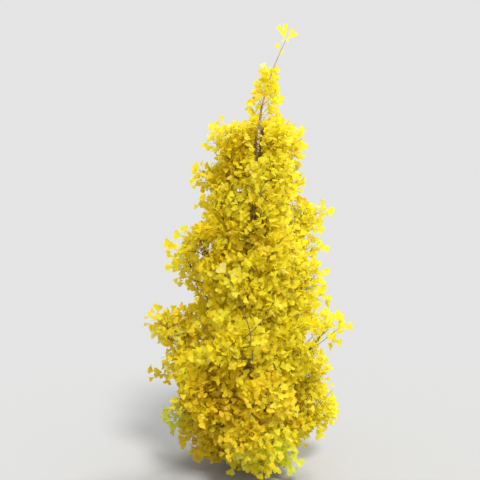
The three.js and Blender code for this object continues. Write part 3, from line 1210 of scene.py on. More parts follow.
@dataclass(frozen=True)
class Outline:
    """How far the leaves reach to the left and to the right as seen from the front, by height.

    The shoulders, above round_from, reach as far to the front and the back as they do to the
    sides. Small gaps make a margin of the crown ragged.
    """

    left: tuple[Pair, ...]
    right: tuple[Pair, ...]
    round_from: float = 1.90
    margin: float = 0.065
    gap_waves: Pair = (62.0, 54.0)
    gap_above: float = 0.36
    gaps_below: float = 2.08

    def holds(self, points: Array, inset: Number) -> Array:
        """Finds the points that lie inside the outline, or above its top.

        Args:
            points: The points, one to a row.
            inset: How far inside they have to lie.

        Returns:
            One true or false for each point.
        """
        across, above = seen_from_front(points)
        left = np.interp(above, *np.array(self.left).T) + inset
        right = np.interp(above, *np.array(self.right).T) - inset
        edge = np.minimum(across - left, right - across)
        u, v = across * self.gap_waves[0], above * self.gap_waves[1]
        gaps = np.sin(u + 2 * np.sin(v / 2)) * np.sin(v + 2 * np.sin(u / 2))
        whole = (edge > self.margin) | (gaps < self.gap_above) | (above > self.gaps_below)
        inside = (edge > 0) & whole
        inside &= (above < self.round_from) | (2 * np.abs(points[:, 1]) < right - left)
        return (above > self.left[-1][0]) | inside


OUTLINE = Outline(
    left=(
        (0.00, -0.10), (0.07, -0.27), (0.13, -0.34), (0.25, -0.48), (0.32, -0.49), (0.48, -0.41),
        (0.55, -0.49), (0.67, -0.51), (0.73, -0.48), (0.79, -0.53), (0.91, -0.57), (0.98, -0.47),
        (1.01, -0.30), (1.08, -0.31), (1.15, -0.39), (1.33, -0.47), (1.39, -0.36), (1.45, -0.39),
        (1.50, -0.27), (1.69, -0.27), (1.75, -0.31), (1.81, -0.30), (1.86, -0.20), (1.93, -0.19),
        (1.99, -0.23), (2.05, -0.19), (2.08, -0.11), (2.11, -0.02), (2.22, 0.00), (2.28, 0.05),
        (2.38, 0.08),
    ),
    right=(
        (0.00, 0.31), (0.13, 0.30), (0.19, 0.44), (0.25, 0.52), (0.31, 0.56), (0.43, 0.57),
        (0.55, 0.53), (0.67, 0.51), (0.73, 0.45), (0.79, 0.49), (0.91, 0.56), (0.96, 0.48),
        (1.03, 0.49), (1.09, 0.44), (1.15, 0.47), (1.33, 0.45), (1.39, 0.40), (1.51, 0.47),
        (1.58, 0.48), (1.63, 0.36), (1.69, 0.35), (1.75, 0.39), (1.81, 0.31), (1.87, 0.34),
        (1.99, 0.34), (2.05, 0.31), (2.10, 0.23), (2.17, 0.26), (2.38, 0.23),
    ),
)


@dataclass(frozen=True)
class Sight:
    """A place in the crown as seen from the front, with half sizes, in the trunk's own plane."""

    x: float
    z: float
    half_width: float
    half_height: float

    def offset(self, points: Array) -> Array:
        """How far off the place's middle each point is seen, in half sizes."""
        across, above = seen_from_front(points)
        return np.hypot((across - self.x) / self.half_width, (above - self.z) / self.half_height)


@dataclass(frozen=True)
class Opening(Sight):
    """A gap in the leaves, through the whole crown or only before the trunk, where light falls."""

    in_front_only: bool = False

    def holds(self, points: Array) -> Array:
        """Finds the points in the gap, or that would keep the key light from the trunk behind it.

        Args:
            points: The points, one to a row.

        Returns:
            One true or false for each point.
        """
        inside = self.offset(points) < 1
        if not self.in_front_only:
            return inside
        shadows = points - points[:, 1:2] / KEY_LIGHT[1] * np.array(KEY_LIGHT)
        return (inside | (self.offset(shadows) < 1)) & (points[:, 1] < 0)


@dataclass(frozen=True)
class Patch(Sight):
    """A part of the crown's front where one tint is dealt more often."""

    tint: Tint = Tint.GREENISH
    weight: float = 1.0

    BACK = 0.1

    def pull(self, point: Array) -> float:
        """How much more often the tint is dealt at a point."""
        inside = max(0.0, 1 - float(self.offset(point[None])[0]))
        return self.weight * inside if point[1] < self.BACK else 0.0


OPENINGS = (
    Opening(-0.034, 1.689, 0.026, 0.019),
    Opening(-0.216, 1.677, 0.030, 0.034),
    Opening(-0.264, 1.315, 0.022, 0.046),
    Opening(0.384, 0.801, 0.032, 0.044),
    Opening(0.478, 0.775, 0.030, 0.045),
    Opening(0.078, 1.985, 0.032, 0.130, in_front_only=True),
    Opening(0.050, 1.552, 0.030, 0.056, in_front_only=True),
    Opening(0.022, 0.620, 0.022, 0.075, in_front_only=True),
)

PATCHES = (
    Patch(-0.450, 0.310, 0.150, 0.100, Tint.GREENISH, 6.0),
    Patch(-0.320, 0.780, 0.130, 0.090, Tint.GREENISH, 1.2),
    Patch(0.204, 0.060, 0.120, 0.100, Tint.LIME, 14.0),
    Patch(0.530, 0.430, 0.090, 0.080, Tint.GREENISH, 1.0),
    Patch(-0.570, 0.570, 0.090, 0.080, Tint.GREENISH, 2.4),
    Patch(0.040, 0.300, 0.300, 0.180, Tint.AMBER, 0.9),
    # This patch deals the darker shaded gold over the crown's low middle: painted shade.
    Patch(0.000, 0.300, 0.420, 0.340, Tint.DEEP_GOLD, 2.2),
    # These two patches deal the near-white tint: painted highlights.
    Patch(-0.440, 0.900, 0.150, 0.100, Tint.PALE, 0.5),
    Patch(0.500, 0.900, 0.120, 0.100, Tint.PALE, 0.5),
)


@dataclass(frozen=True)
class EdgeShoots:
    """Leafy shoots from one limb out to places on the crown's outline, as seen from the front."""

    limb: str
    tips: tuple[Pair, ...]
    share: float = 0.80


EDGE_SHOOTS = (
    EdgeShoots("9_3", ((-0.168, 2.076), (-0.222, 1.985))),
    EdgeShoots("8_1", ((-0.288, 1.830), (-0.312, 1.740))),
    EdgeShoots("7_3", ((-0.270, 1.620),)),
    EdgeShoots("6_1", ((-0.396, 1.440), (-0.462, 1.335))),
    EdgeShoots("5_3", ((-0.444, 1.245), (-0.384, 1.150))),
    EdgeShoots("4_1", ((-0.558, 0.950), (-0.564, 0.900))),
    EdgeShoots("4_1", ((-0.360, 0.985),), share=0.60),
    EdgeShoots("3_3", ((-0.582, 0.576),)),
    EdgeShoots("2_1", ((-0.492, 0.330), (-0.450, 0.255))),
    EdgeShoots("1_3", ((-0.378, 0.165), (-0.300, 0.085), (-0.240, 0.050), (-0.165, 0.030))),
    EdgeShoots("1_4", ((-0.100, 0.010), (0.162, 0.020), (0.192, 0.084), (0.222, 0.015))),
    EdgeShoots("1_4", ((0.246, 0.066), (0.288, 0.020), (0.310, 0.060), (0.276, 0.110))),
    EdgeShoots("1_1", ((0.370, 0.160), (0.330, 0.192))),
    EdgeShoots("2_3", ((0.468, 0.222), (0.540, 0.300))),
    EdgeShoots("9_1", ((0.312, 2.055), (0.345, 1.965), (0.330, 1.870))),
    EdgeShoots("7_1", ((0.486, 1.575), (0.450, 1.480))),
    EdgeShoots("6_3", ((0.456, 1.360),)),
    EdgeShoots("5_1", ((0.462, 1.230), (0.474, 1.130), (0.498, 1.005))),
    EdgeShoots("4_3", ((0.606, 0.885), (0.540, 0.940))),
)


@dataclass(frozen=True)
class LeafHabit:
    """How one kind of shoot's leaves grow: their blades' length, and how far they face the front.

    Shoots that stand past the outline aren't trimmed to it.
    """

    blade: float
    faces_front: float
    past_outline: bool = False


@dataclass(frozen=True)
class SingleLeaf:
    """One listed leaf: its place on a shoot, heading, stalk, blade and tint."""

    share: float
    heading: Vector3
    stalk: float
    blade: float
    kind: Blade = Blade.DEEP
    tint: Tint = Tint.LEMON


CREST_LEAVES = (
    SingleLeaf(1.0, (-0.28, 0.00, 1.00), 0.012, 0.088),
    SingleLeaf(1.0, (0.92, -0.10, 0.85), 0.014, 0.068),
    SingleLeaf(0.98, (-0.80, 0.00, 0.75), 0.004, 0.018, Blade.NARROW),
    SingleLeaf(0.98, (0.90, 0.00, 0.70), 0.004, 0.022, Blade.NARROW),
    SingleLeaf(0.88, (-0.62, 0.00, 0.80), 0.012, 0.038, Blade.NARROW),
    SingleLeaf(0.84, (0.75, 0.00, 0.70), 0.008, 0.024, Blade.NARROW),
)
# The side shoot's leaf takes the near-white tint: a painted highlight.
SIDE_SHOOT_LEAVES = (SingleLeaf(1.0, (-0.5, 0.0, 1.0), 0.004, 0.046, Blade.NARROW, Tint.PALE),)


@dataclass(frozen=True)
class BareShoot:
    """A thin shoot ahead of the leaves, between two places seen from the front, and its leaves."""

    start: Pair
    end: Pair
    ahead: float = 0.022
    leaves: tuple[SingleLeaf, ...] = ()


BARE_SHOOTS = (
    BareShoot((0.036, 0.800), (-0.104, 1.184), 0.090, (
        # The near-white leaves below are painted highlights.
        SingleLeaf(1.00, (-0.75, -0.20, 0.75), 0.014, 0.058, Blade.WIDE, Tint.PALE),
        SingleLeaf(1.00, (0.95, -0.30, 0.14), 0.020, 0.066, Blade.USUAL, Tint.PALE),
        SingleLeaf(0.97, (0.60, -0.30, 0.55), 0.010, 0.040, Blade.NARROW, Tint.PALE),
        SingleLeaf(0.90, (-0.90, -0.20, 0.20), 0.010, 0.036, Blade.WIDE),
    )),
    BareShoot((0.078, 0.870), (0.174, 1.020), 0.040, (
        SingleLeaf(1.00, (0.55, -0.20, 0.80), 0.014, 0.046, Blade.WAVY),
        SingleLeaf(1.00, (-0.75, -0.25, 0.60), 0.012, 0.040, Blade.USUAL),
        SingleLeaf(0.88, (0.90, -0.20, 0.30), 0.010, 0.038, Blade.WIDE),
    )),
    BareShoot((0.094, 1.664), (0.124, 1.734)),
    BareShoot((0.094, 1.664), (0.186, 1.692)),
    BareShoot((0.094, 1.664), (0.000, 1.724)),
    BareShoot((0.012, 1.404), (-0.042, 1.450)),
    BareShoot((0.210, 1.380), (0.268, 1.428)),
    BareShoot((0.138, 1.285), (0.214, 1.336)),
    BareShoot((-0.174, 0.725), (-0.186, 0.805)),
    BareShoot((0.000, 0.640), (-0.100, 0.730)),
    BareShoot((0.030, 0.600), (0.044, 0.720)),
)


@dataclass
class LeafRows:
    """Leaves as rows of arrays, filled rosette by rosette, in the order that add() names."""

    rows: list[tuple[Array, ...]] = field(default_factory=list)

    def add(
        self,
        start: Array,
        bases: Array,
        alongs: Array,
        facing: Array,
        blades: Array,
        kinds: Array,
        tint: Tint,
    ) -> None:
        """Adds leaves that grow from one point.

        Args:
            start: Where their petioles start.
            bases: Where their blades start.
            alongs: The blades' directions.
            facing: About where their upper sides face.
            blades: The blades' lengths.
            kinds: The blades' shapes.
            tint: Their tint.
        """
        alongs = unit(alongs)
        starts = np.repeat(start[None], len(bases), axis=0)
        normals = unit(facing - alongs * np.sum(facing * alongs, axis=1, keepdims=True))
        tints = np.full(len(bases), TINTS.index(tint))
        self.rows.append((starts, bases, alongs, normals, blades, kinds, tints))

    def joined(self) -> tuple[Array, ...]:
        """Each column of the rows joined into one array."""
        return tuple(np.concatenate(column) for column in zip(*self.rows))


@dataclass
class Growth:
    """The stems, twigs, spurs and leaves that have grown so far, and how the next ones grow."""

    crown: Crown
    usual: LeafHabit = LeafHabit(0.037, 0.40)
    blade_range: Pair = (0.75, 1.2)
    blade_out: float = 0.25
    blade_droop: Pair = (-0.1, 0.6)
    blade_scatter: float = 0.16
    faces_up: float = 0.40
    faces_out: float = 0.40
    faces_any: float = 0.44
    petiole: float = 0.030
    petiole_range: Pair = (0.6, 1.3)
    petiole_ahead: float = 0.7
    petiole_aside: float = 0.78
    petiole_up: float = 0.25
    usual_reach: Pair = (0.50, 0.12)
    reach_height: float = 2.4
    deep_below: float = 2.000
    plain_depth: float = 0.42
    deep_from: float = 0.38
    side_width: float = 0.30
    high_from: float = 1.6
    low_to: float = 0.62
    airy_from: float = 0.10
    airy_to: float = 0.22
    airy_most: float = 0.65
    main_radii: Pair = (0.0022, 0.0012)
    fine_radii: Pair = (0.0014, 0.0008)
    twig_sides: int = 4
    twig_rings: float = 0.03
    twig_sway: Pair = (0.02, 0.08)
    twig_sag: float = 0.06
    end_leaves: tuple[int, int] = (3, 5)
    spur_leaves: tuple[int, int] = (2, 4)
    spur_length: float = 0.006
    spur_radii: Pair = (0.0016, 0.00144)
    spur_sides: int = 3
    spur_spacing: float = 0.028
    spur_last: float = 0.9
    spur_jitter: Pair = (0.2, 0.8)
    spur_turn: float = 0.4
    spur_ahead: float = 0.5
    rosette_ahead: float = 0.6
    fork_from: float = 0.070
    fork_shares: Pair = (0.42, 0.68)
    fork_ahead: float = 0.75
    fork_up: float = 0.15
    fork_first: float = 0.3
    outline_inset: Pair = (0.012, 0.010)
    loose_gap: float = -0.045
    trunk_clearance: float = 0.004
    lowest: float = 0.060
    beyond_box: float = 0.020
    front: Vector3 = (0.15, -1.0, 0.25)
    front_tilt: float = 0.1
    seed: int = 78

    def __post_init__(self) -> None:
        """Starts with bare limbs."""
        self.leader, self.stems, self.twigs, self.spurs = (MeshParts() for _ in range(4))
        self.new, self.kept = LeafRows(), LeafRows()
        self.line: tuple[Array, Array] | None = None
        self.habit = self.usual
        self.restart(0)
        self.low = np.array(packed_box[0]) - self.beyond_box
        self.high = np.array(packed_box[1]) + self.beyond_box

    def restart(self, stage: int) -> None:
        """Starts the stream of random draws anew, so that each stage has its own."""
        self.random = np.random.RandomState(self.seed + stage)

    def within_reach(self, points: Array) -> Array:
        """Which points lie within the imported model's reach, and above the ground."""
        inside = np.all((points > self.low) & (points < self.high), axis=1)
        return inside & (points[:, 2] > self.lowest)

    def depth(self, point: Array) -> float:
        """Tells how deep in the crown a point lies.

        Args:
            point: The point.

        Returns:
            0 at the crown's usual reach for its height, and 1 at the trunk.
        """
        if point[2] > self.deep_below:
            return 0.0
        middle = TRUNK.point(point[2])
        out = math.hypot(point[0] - middle[0], point[1] - middle[1])
        reach = lerp(*self.usual_reach, min(point[2] / self.reach_height, 1.0))
        return 1 - min(out / reach, 1.0)

    def thinness(self, point: Array) -> float:
        """Tells how thinly leaves stand at a point: more thinly towards a mass's edge.

        Args:
            point: The point.

        Returns:
            The share of spurs that stay bare there.
        """
        if self.line is None:
            return 0.0
        away = float(Crown.line_distances(point[None], *self.line).min())
        share = (away - self.airy_from) / (self.airy_to - self.airy_from)
        return self.airy_most * min(max(share, 0.0), 1.0)

    def tint_for(self, point: Array) -> Tint:
        """Deals a spray its tint by where it grows: lighter lemon on the key light's side, darker
        gold on the far side and deep inside, as painted light and shade.

        Args:
            point: The spray's place.

        Returns:
            The tint.
        """
        x, _, z = point
        side = max(-1.0, min((x - TRUNK.point(z)[0]) / self.side_width, 1.0))
        high = min(z / self.high_from, 1.0)
        deep = max(0.0, (self.depth(point) - self.deep_from) / (1 - self.deep_from))
        low = max(0.0, 1 - z / self.low_to)
        scores = np.array([leaf.deal.weight(side, high, deep, low) for leaf in LEAF_FINISHES])
        for patch in PATCHES:
            scores[TINTS.index(patch.tint)] += patch.pull(point)
        scores = np.maximum(scores, 0.0)
        return TINTS[int(self.random.choice(len(scores), p=scores / scores.sum()))]

    def rosette(self, point: Array, ahead: Array, counts: tuple[int, int], tint: Tint) -> None:
        """Adds a ring of leaves round a spur.

        Args:
            point: The spur's tip.
            ahead: Where the spur points.
            counts: The fewest leaves that it may bear, and one more than the most.
            tint: Their tint.
        """
        random, habit = self.random, self.habit
        count = int(random.randint(*counts))
        middle = TRUNK.point(point[2])
        outward = unit(np.array([point[0] - middle[0], point[1] - middle[1], 0.0]))
        side = unit(np.cross(ahead, OFF_UPRIGHT))
        other = np.cross(ahead, side)
        angles = random.uniform(0, 2 * np.pi) + 2 * np.pi * np.arange(count)[:, None] / count
        spokes = np.cos(angles) * side + np.sin(angles) * other
        headings = ahead * self.petiole_ahead + spokes * self.petiole_aside + UP * self.petiole_up
        headings = unit(headings)
        stalk = self.petiole * random.uniform(*self.petiole_range, (count, 1))
        stalk = stalk * habit.blade / self.usual.blade
        droop = UP * random.uniform(*self.blade_droop, (count, 1))
        scatter = random.normal(0, self.blade_scatter, (count, 3))
        alongs = headings + outward * self.blade_out - droop + scatter
        facing = UP * self.faces_up + outward * self.faces_out
        facing = facing + random.normal(0, self.faces_any, (count, 3))
        facing[:, 1] -= habit.faces_front
        blades = habit.blade * random.uniform(*self.blade_range, count)
        kinds = random.randint(0, Blade.DEEP, count)
        if self.depth(point) > self.plain_depth:
            kinds[:] = Blade.PLAIN
        self.new.add(point, point + headings * stalk, alongs, facing, blades, kinds, tint)

    def bears_leaves(self, tip: Array) -> bool:
        """Tells whether a leafy twig may end at a point.

        Args:
            tip: The point.

        Returns:
            Whether it lies in reach, out of the openings and, where that counts, in the outline.
        """
        spot = tip[None]
        if any(opening.holds(spot)[0] for opening in OPENINGS if not opening.in_front_only):
            return False
        if not self.within_reach(spot)[0]:
            return False
        return self.habit.past_outline or bool(OUTLINE.holds(spot, self.outline_inset[0])[0])

    def leafy_twig(self, root: Array, tip: Array, radii: Pair, first: float) -> None:
        """Grows one twig with spurs along it and a rosette at its end.

        Args:
            root: The twig's root.
            tip: Its tip.
            radii: Its radius at the root and at the tip.
            first: The share of its length where its first spur stands.
        """
        if not self.bears_leaves(tip):
            return
        random = self.random
        run = tip - root
        length = float(np.linalg.norm(run))
        ahead = unit(run)
        sway = unit(np.cross(ahead, random.normal(0, 1, 3))) * random.uniform(*self.twig_sway)
        bend = root + run * 0.5 + (sway - UP * self.twig_sag) * length
        t = np.linspace(0, 1, max(3, int(length / self.twig_rings) + 2))[:, None]
        self.twigs.tube(bent(root, bend, tip, t), lerp(*radii, t[:, 0]), self.twig_sides)
        tint = self.tint_for(tip)
        self.rosette(tip, unit(tip - bend), self.end_leaves, tint)
        spurs = int(length * (1 - first) / self.spur_spacing)
        for k in range(spurs):
            share = lerp(first, self.spur_last, (k + random.uniform(*self.spur_jitter)) / spurs)
            around = unit(lerp(bend - root, tip - bend, share))
            turn = GOLDEN_ANGLE * k + random.uniform(-self.spur_turn, self.spur_turn)
            spoke = spoke_at(around, turn, OFF_UPRIGHT)
            foot = bent(root, bend, tip, share)
            point = foot + unit(spoke + around * self.spur_ahead) * self.spur_length
            if random.uniform() < self.thinness(point):
                continue
            self.spurs.tube(np.array([foot, point]), np.array(self.spur_radii), self.spur_sides)
            heading = unit(spoke + around * self.rosette_ahead)
            self.rosette(point, heading, self.spur_leaves, tint)

    def forked_twig(self, root: Array, tip: Array, radii: Pair, first: float) -> None:
        """Grows one twig, with two side twigs where it is long enough to fork.

        Args:
            root: The twig's root.
            tip: Its tip.
            radii: Its radius at the root and at the tip.
            first: The share of its length where its first spur stands.
        """
        self.leafy_twig(root, tip, radii, first)
        run = tip - root
        length = float(np.linalg.norm(run))
        if length < self.fork_from:
            return
        ahead = run / length
        turn = self.random.uniform(0, 2 * np.pi)
        for share in self.fork_shares:
            turn += GOLDEN_ANGLE
            side = ahead * self.fork_ahead + spoke_at(ahead, turn, OFF_UPRIGHT) + UP * self.fork_up
            fork = root + run * share
            end = fork + unit(side) * (1 - share) * length
            self.leafy_twig(fork, end, self.fine_radii, self.fork_first)

    def set_leaves(self, shoot: Course, leaves: tuple[SingleLeaf, ...]) -> None:
        """Puts single leaves on a shoot.

        Args:
            shoot: The shoot's middle line.
            leaves: The leaves.
        """
        front = np.array([self.front])
        for leaf in leaves:
            start = shoot.at(leaf.share)
            heading = unit(np.array([leaf.heading]))
            along = heading + front * self.front_tilt
            sizes = np.array([leaf.blade]), np.array([leaf.kind])
            self.new.add(start, start + heading * leaf.stalk, along, front, *sizes, leaf.tint)

    def close_rows(self, index: int | None) -> None:
        """Keeps the new leaves that stay in their space, clear of the trunk and the openings.

        Args:
            index: The mass's place in the crown, or none for leaves that belong to no mass.
        """
        columns = self.new.joined()
        self.new = LeafRows()
        _, bases, alongs, _, blades, _, _ = columns
        tips = bases + alongs * blades[:, None]
        middles = (bases + tips) / 2
        keep = self.within_reach(bases) & self.within_reach(tips)
        for ends in (bases, tips):
            keep &= self.crown.clear_of_trunk(ends, self.trunk_clearance)
        for opening in OPENINGS:
            keep &= ~opening.holds(middles)
        if index is not None:
            insets = self.random.normal(*self.outline_inset, len(middles))
            keep &= OUTLINE.holds(middles, insets)
            if not self.crown.masses[index].leader:
                keep &= self.crown.in_space(index, middles, self.loose_gap * 2, self.lowest)
        self.kept.rows.append(tuple(column[keep] for column in columns))


@dataclass
class LeaderDresser:
    """The shoot on the trunk's tip: leaves on long stalks, short twigs, and large top leaves."""

    growth: Growth
    habit: LeafHabit = LeafHabit(0.044, 0.90)
    leafy: float = 0.60
    spacing: float = 0.0036
    stalks: Pair = (0.088, 0.036)
    stalk_range: Pair = (0.25, 1.15)
    rises: Pair = (0.20, 1.05)
    rise_jitter: float = 0.25
    turn_jitter: float = 0.3
    depth: float = 0.75
    blade_range: Pair = (0.80, 1.05)
    faces: Vector3 = (0.2, -1.0, 0.3)
    faces_any: float = 0.3
    no_spurs: float = 1.0

    def stalked_leaves(self, shoot: Course) -> None:
        """Sets single leaves on long stalks all round the shoot, with their fans turned outward.

        Args:
            shoot: The leader's middle line.
        """
        random = self.growth.random
        count = int(shoot.length * self.leafy / self.spacing)
        for k in range(count):
            along = (k + 0.5) / count
            start = shoot.at(along * self.leafy)
            turn = GOLDEN_ANGLE * k + random.uniform(-self.turn_jitter, self.turn_jitter)
            rise = lerp(*self.rises, along) + random.uniform(-self.rise_jitter, self.rise_jitter)
            heading = unit(np.array([[math.cos(turn), math.sin(turn) * self.depth, rise]]))
            stalk = lerp(*self.stalks, along) * random.uniform(*self.stalk_range)
            facing = np.array([self.faces]) + random.normal(0, self.faces_any, (1, 3))
            blades = self.habit.blade * random.uniform(*self.blade_range, 1)
            sizes = blades, random.randint(0, Blade.DEEP, 1)
            tint = self.growth.tint_for(start)
            self.growth.new.add(start, start + heading * stalk, heading, facing, *sizes, tint)

    def crest(self, shoot: Course, root: Array, tip: Array) -> None:
        """Puts the few large leaves on the shoot's bare part and on its weak side shoot.

        Args:
            shoot: The leader's middle line.
            root: The side shoot's root.
            tip: Its tip.
        """
        growth = self.growth
        growth.set_leaves(shoot, CREST_LEAVES)
        growth.leader.tube(np.array([root, tip]), np.array(growth.fine_radii), growth.twig_sides)
        growth.set_leaves(Course.bend(root, (root + tip) / 2, tip), SIDE_SHOOT_LEAVES)

    def grow(self, shoot: Course, twigs: list[TwigPlace]) -> None:
        """Grows everything on the leader.

        Args:
            shoot: The leader's middle line.
            twigs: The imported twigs, with the weak side shoot as the last of them.
        """
        self.growth.habit = self.habit
        self.crest(shoot, twigs[-1].root, twigs[-1].tip)
        self.stalked_leaves(shoot)
        for twig in twigs[:-1]:
            self.growth.leafy_twig(twig.root, twig.tip, self.growth.fine_radii, self.no_spurs)


@dataclass
class MassDresser:
    """What grows on each mass: its stem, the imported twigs, and finer twigs between them."""

    growth: Growth
    stem_rings: int = 22
    stem_sides: int = 9
    stem_taper: float = 0.42
    spray_share: float = 0.56
    spray_first: float = 0.25
    packed_first: float = 0.2
    side_twigs: int = 3
    side_shares: Pair = (0.2, 0.85)
    side_length: float = 0.060
    side_ahead: float = 0.8
    side_up: float = 0.2
    side_first: float = 0.3
    fill_from_bough: float = 0.02
    fill_from_trunk: float = 0.12
    fill_to: float = 0.97
    fill_spacing: float = 0.017
    fill_lengths: Pair = (0.180, 0.085)
    fill_short: float = 0.45
    fill_stretch: float = 1.0
    fill_skew: float = 2.0
    fill_tries: tuple[float, ...] = (1.0, 0.72, 0.5, 0.34)
    fill_first: float = 0.2
    long_lift: float = 0.45
    low_fill: float = 0.35
    low_height: float = 0.50

    def __post_init__(self) -> None:
        """Keeps the crown and the usual fine twig's radii at hand."""
        self.crown, self.fine = self.growth.crown, self.growth.fine_radii

    def spray(self, place: LeafPlace) -> None:
        """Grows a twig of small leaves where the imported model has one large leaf."""
        tip = place.root + place.along * LEAVES.length * place.scale * self.spray_share
        self.growth.leafy_twig(place.root, tip, self.fine, self.spray_first)

    def packed_twig(self, place: TwigPlace, size: float, turn: float) -> None:
        """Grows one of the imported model's own twigs, with its sprays and a few side twigs.

        Args:
            place: The twig's place.
            size: The mass's size.
            turn: How far its side twigs are turned round it.
        """
        run = place.tip - place.root
        ahead = unit(run)
        self.growth.leafy_twig(place.root, place.tip, self.growth.main_radii, self.packed_first)
        for leaf in place.leaves:
            self.spray(leaf)
        for k in range(self.side_twigs):
            share = lerp(*self.side_shares, (k + 0.5) / self.side_twigs)
            spoke = spoke_at(ahead, GOLDEN_ANGLE * (k + 0.5) + turn)
            root = place.root + run * share
            heading = unit(ahead * self.side_ahead + spoke + UP * self.side_up)
            tip = root + heading * self.side_length * size
            self.growth.leafy_twig(root, tip, self.fine, self.side_first)

    def fill(self, rule: GrowthRule) -> None:
        """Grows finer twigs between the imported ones, as long as the mass's space lets them be.

        Args:
            rule: The mass's growth rule.
        """
        mass, growth = rule.mass, self.growth
        first = self.fill_from_bough if mass.entry > 0 else self.fill_from_trunk
        count = int(mass.stem.length * (self.fill_to - first) / self.fill_spacing)
        along = (np.arange(count) + 0.5) / count
        shares = lerp(first, self.fill_to, along)
        roots = mass.stem.spaced(shares)
        low = 1 + self.low_fill * np.clip(1 - roots[:, 2] / self.low_height, 0, 1)
        longer = growth.random.uniform(0, 1, count) ** self.fill_skew
        sizes = mass.size * low * lerp(*self.fill_lengths, along)
        sizes = sizes * (self.fill_short + self.fill_stretch * longer)
        headings = np.array([rule.heading(share, k + 0.5) for k, share in enumerate(shares)])
        headings[:, 2] += TWIGS.lift + self.long_lift * longer
        left = np.ones(count, dtype=bool)
        for shrink in self.fill_tries:
            tips = roots + headings * (sizes * shrink)[:, None]
            fits = left & self.crown.in_space(rule.index, tips, growth.loose_gap, growth.lowest)
            fits &= growth.within_reach(tips)
            for k in np.nonzero(fits)[0]:
                growth.forked_twig(roots[k], tips[k], self.fine, self.fill_first)
            left &= ~fits

    def grow(self, index: int) -> None:
        """Grows everything on one mass.

        Args:
            index: The mass's place in the crown.
        """
        mass, growth = self.crown.masses[index], self.growth
        growth.line = self.crown.line_of(index)
        growth.restart(index)
        rule = GrowthRule(self.crown, index)
        leaves, twigs = rule.grown()
        shares = np.linspace(0, 1, self.stem_rings)
        radii = mass.radius_at(lerp(mass.stem_from, 1, shares)) * (1 - self.stem_taper * shares)
        parts = growth.leader if mass.leader else growth.stems
        parts.tube(mass.stem.spaced(shares), radii, self.stem_sides)
        if mass.leader:
            LeaderDresser(growth).grow(mass.stem, twigs)
        else:
            for leaf in leaves:
                self.spray(leaf)
            self.fill(rule)
            for twig in twigs:
                self.packed_twig(twig, mass.size, float(index))
        growth.close_rows(index)
        growth.line, growth.habit = None, growth.usual


@dataclass
class LimbDresser:
    """The twigs on the trunk and boughs, which fill the crown's middle, and those on its edge."""

    growth: Growth
    on_edge: LeafHabit = LeafHabit(0.047, 1.10, past_outline=True)
    trunk_spacing: float = 0.030
    trunk_lengths: Pair = (0.190, 0.085)
    trunk_heights: Pair = (0.150, 1.990)
    trunk_range: Pair = (0.75, 1.2)
    trunk_rise: float = 0.65
    trunk_first: float = 0.25
    bough_spacing: float = 0.026
    bough_start: float = 0.8
    bough_twig: float = 0.085
    bough_range: Pair = (0.6, 1.3)
    bough_first: float = 0.2
    root_depth: float = 0.8
    edge_radii: Pair = (0.0020, 0.0010)
    edge_inset: float = 0.045
    edge_first: float = 0.35

    def trunk_twigs(self) -> None:
        """Grows the twigs on the trunk."""
        growth = self.growth
        low, high = self.trunk_heights
        for k in range(int((high - low) / self.trunk_spacing)):
            height = low + k * self.trunk_spacing
            outward = level(GOLDEN_ANGLE * k)
            root = TRUNK.point(height) + outward * float(TRUNK.radius(height)) * self.root_depth
            length = lerp(*self.trunk_lengths, height / TRUNK.height)
            length *= growth.random.uniform(*self.trunk_range)
            tip = root + unit(outward + UP * self.trunk_rise) * length
            growth.forked_twig(root, tip, growth.main_radii, self.trunk_first)

    def bough_twigs(self, limb: Limb) -> None:
        """Grows the twigs on one bough.

        Args:
            limb: The limb that the bough is the first part of.
        """
        growth = self.growth
        steps = int(limb.entry * limb.course.length / self.bough_spacing)
        for k in range(steps):
            share = limb.entry * (k + self.bough_start) / steps
            tangent = limb.course.tangent_at(share)
            spoke = spoke_at(tangent, GOLDEN_ANGLE * k)
            root = limb.course.at(share) + spoke * float(limb.radius_at(share)) * self.root_depth
            length = self.bough_twig * growth.random.uniform(*self.bough_range)
            tip = root + unit(tangent + spoke * TWIGS.spread) * length
            growth.forked_twig(root, tip, growth.fine_radii, self.bough_first)

    def edge_shoots(self) -> None:
        """Grows the leafy shoots on the crown's outline."""
        courses = {limb.label: limb.course for limb in self.growth.crown.limbs}
        self.growth.habit = self.on_edge
        for shoots in EDGE_SHOOTS:
            course = courses[shoots.limb]
            root, depth = course.at(shoots.share), float(course.at(1.0)[1])
            for place in shoots.tips:
                tip = behind_sight(*place, depth)
                tip = tip - unit(tip - root) * self.edge_inset
                self.growth.leafy_twig(root, tip, self.edge_radii, self.edge_first)
        self.growth.habit = self.growth.usual

    def grow(self) -> None:
        """Grows all of them."""
        self.growth.restart(-1)
        self.trunk_twigs()
        for limb in self.growth.crown.limbs:
            self.bough_twigs(limb)
        self.edge_shoots()
        self.growth.close_rows(None)


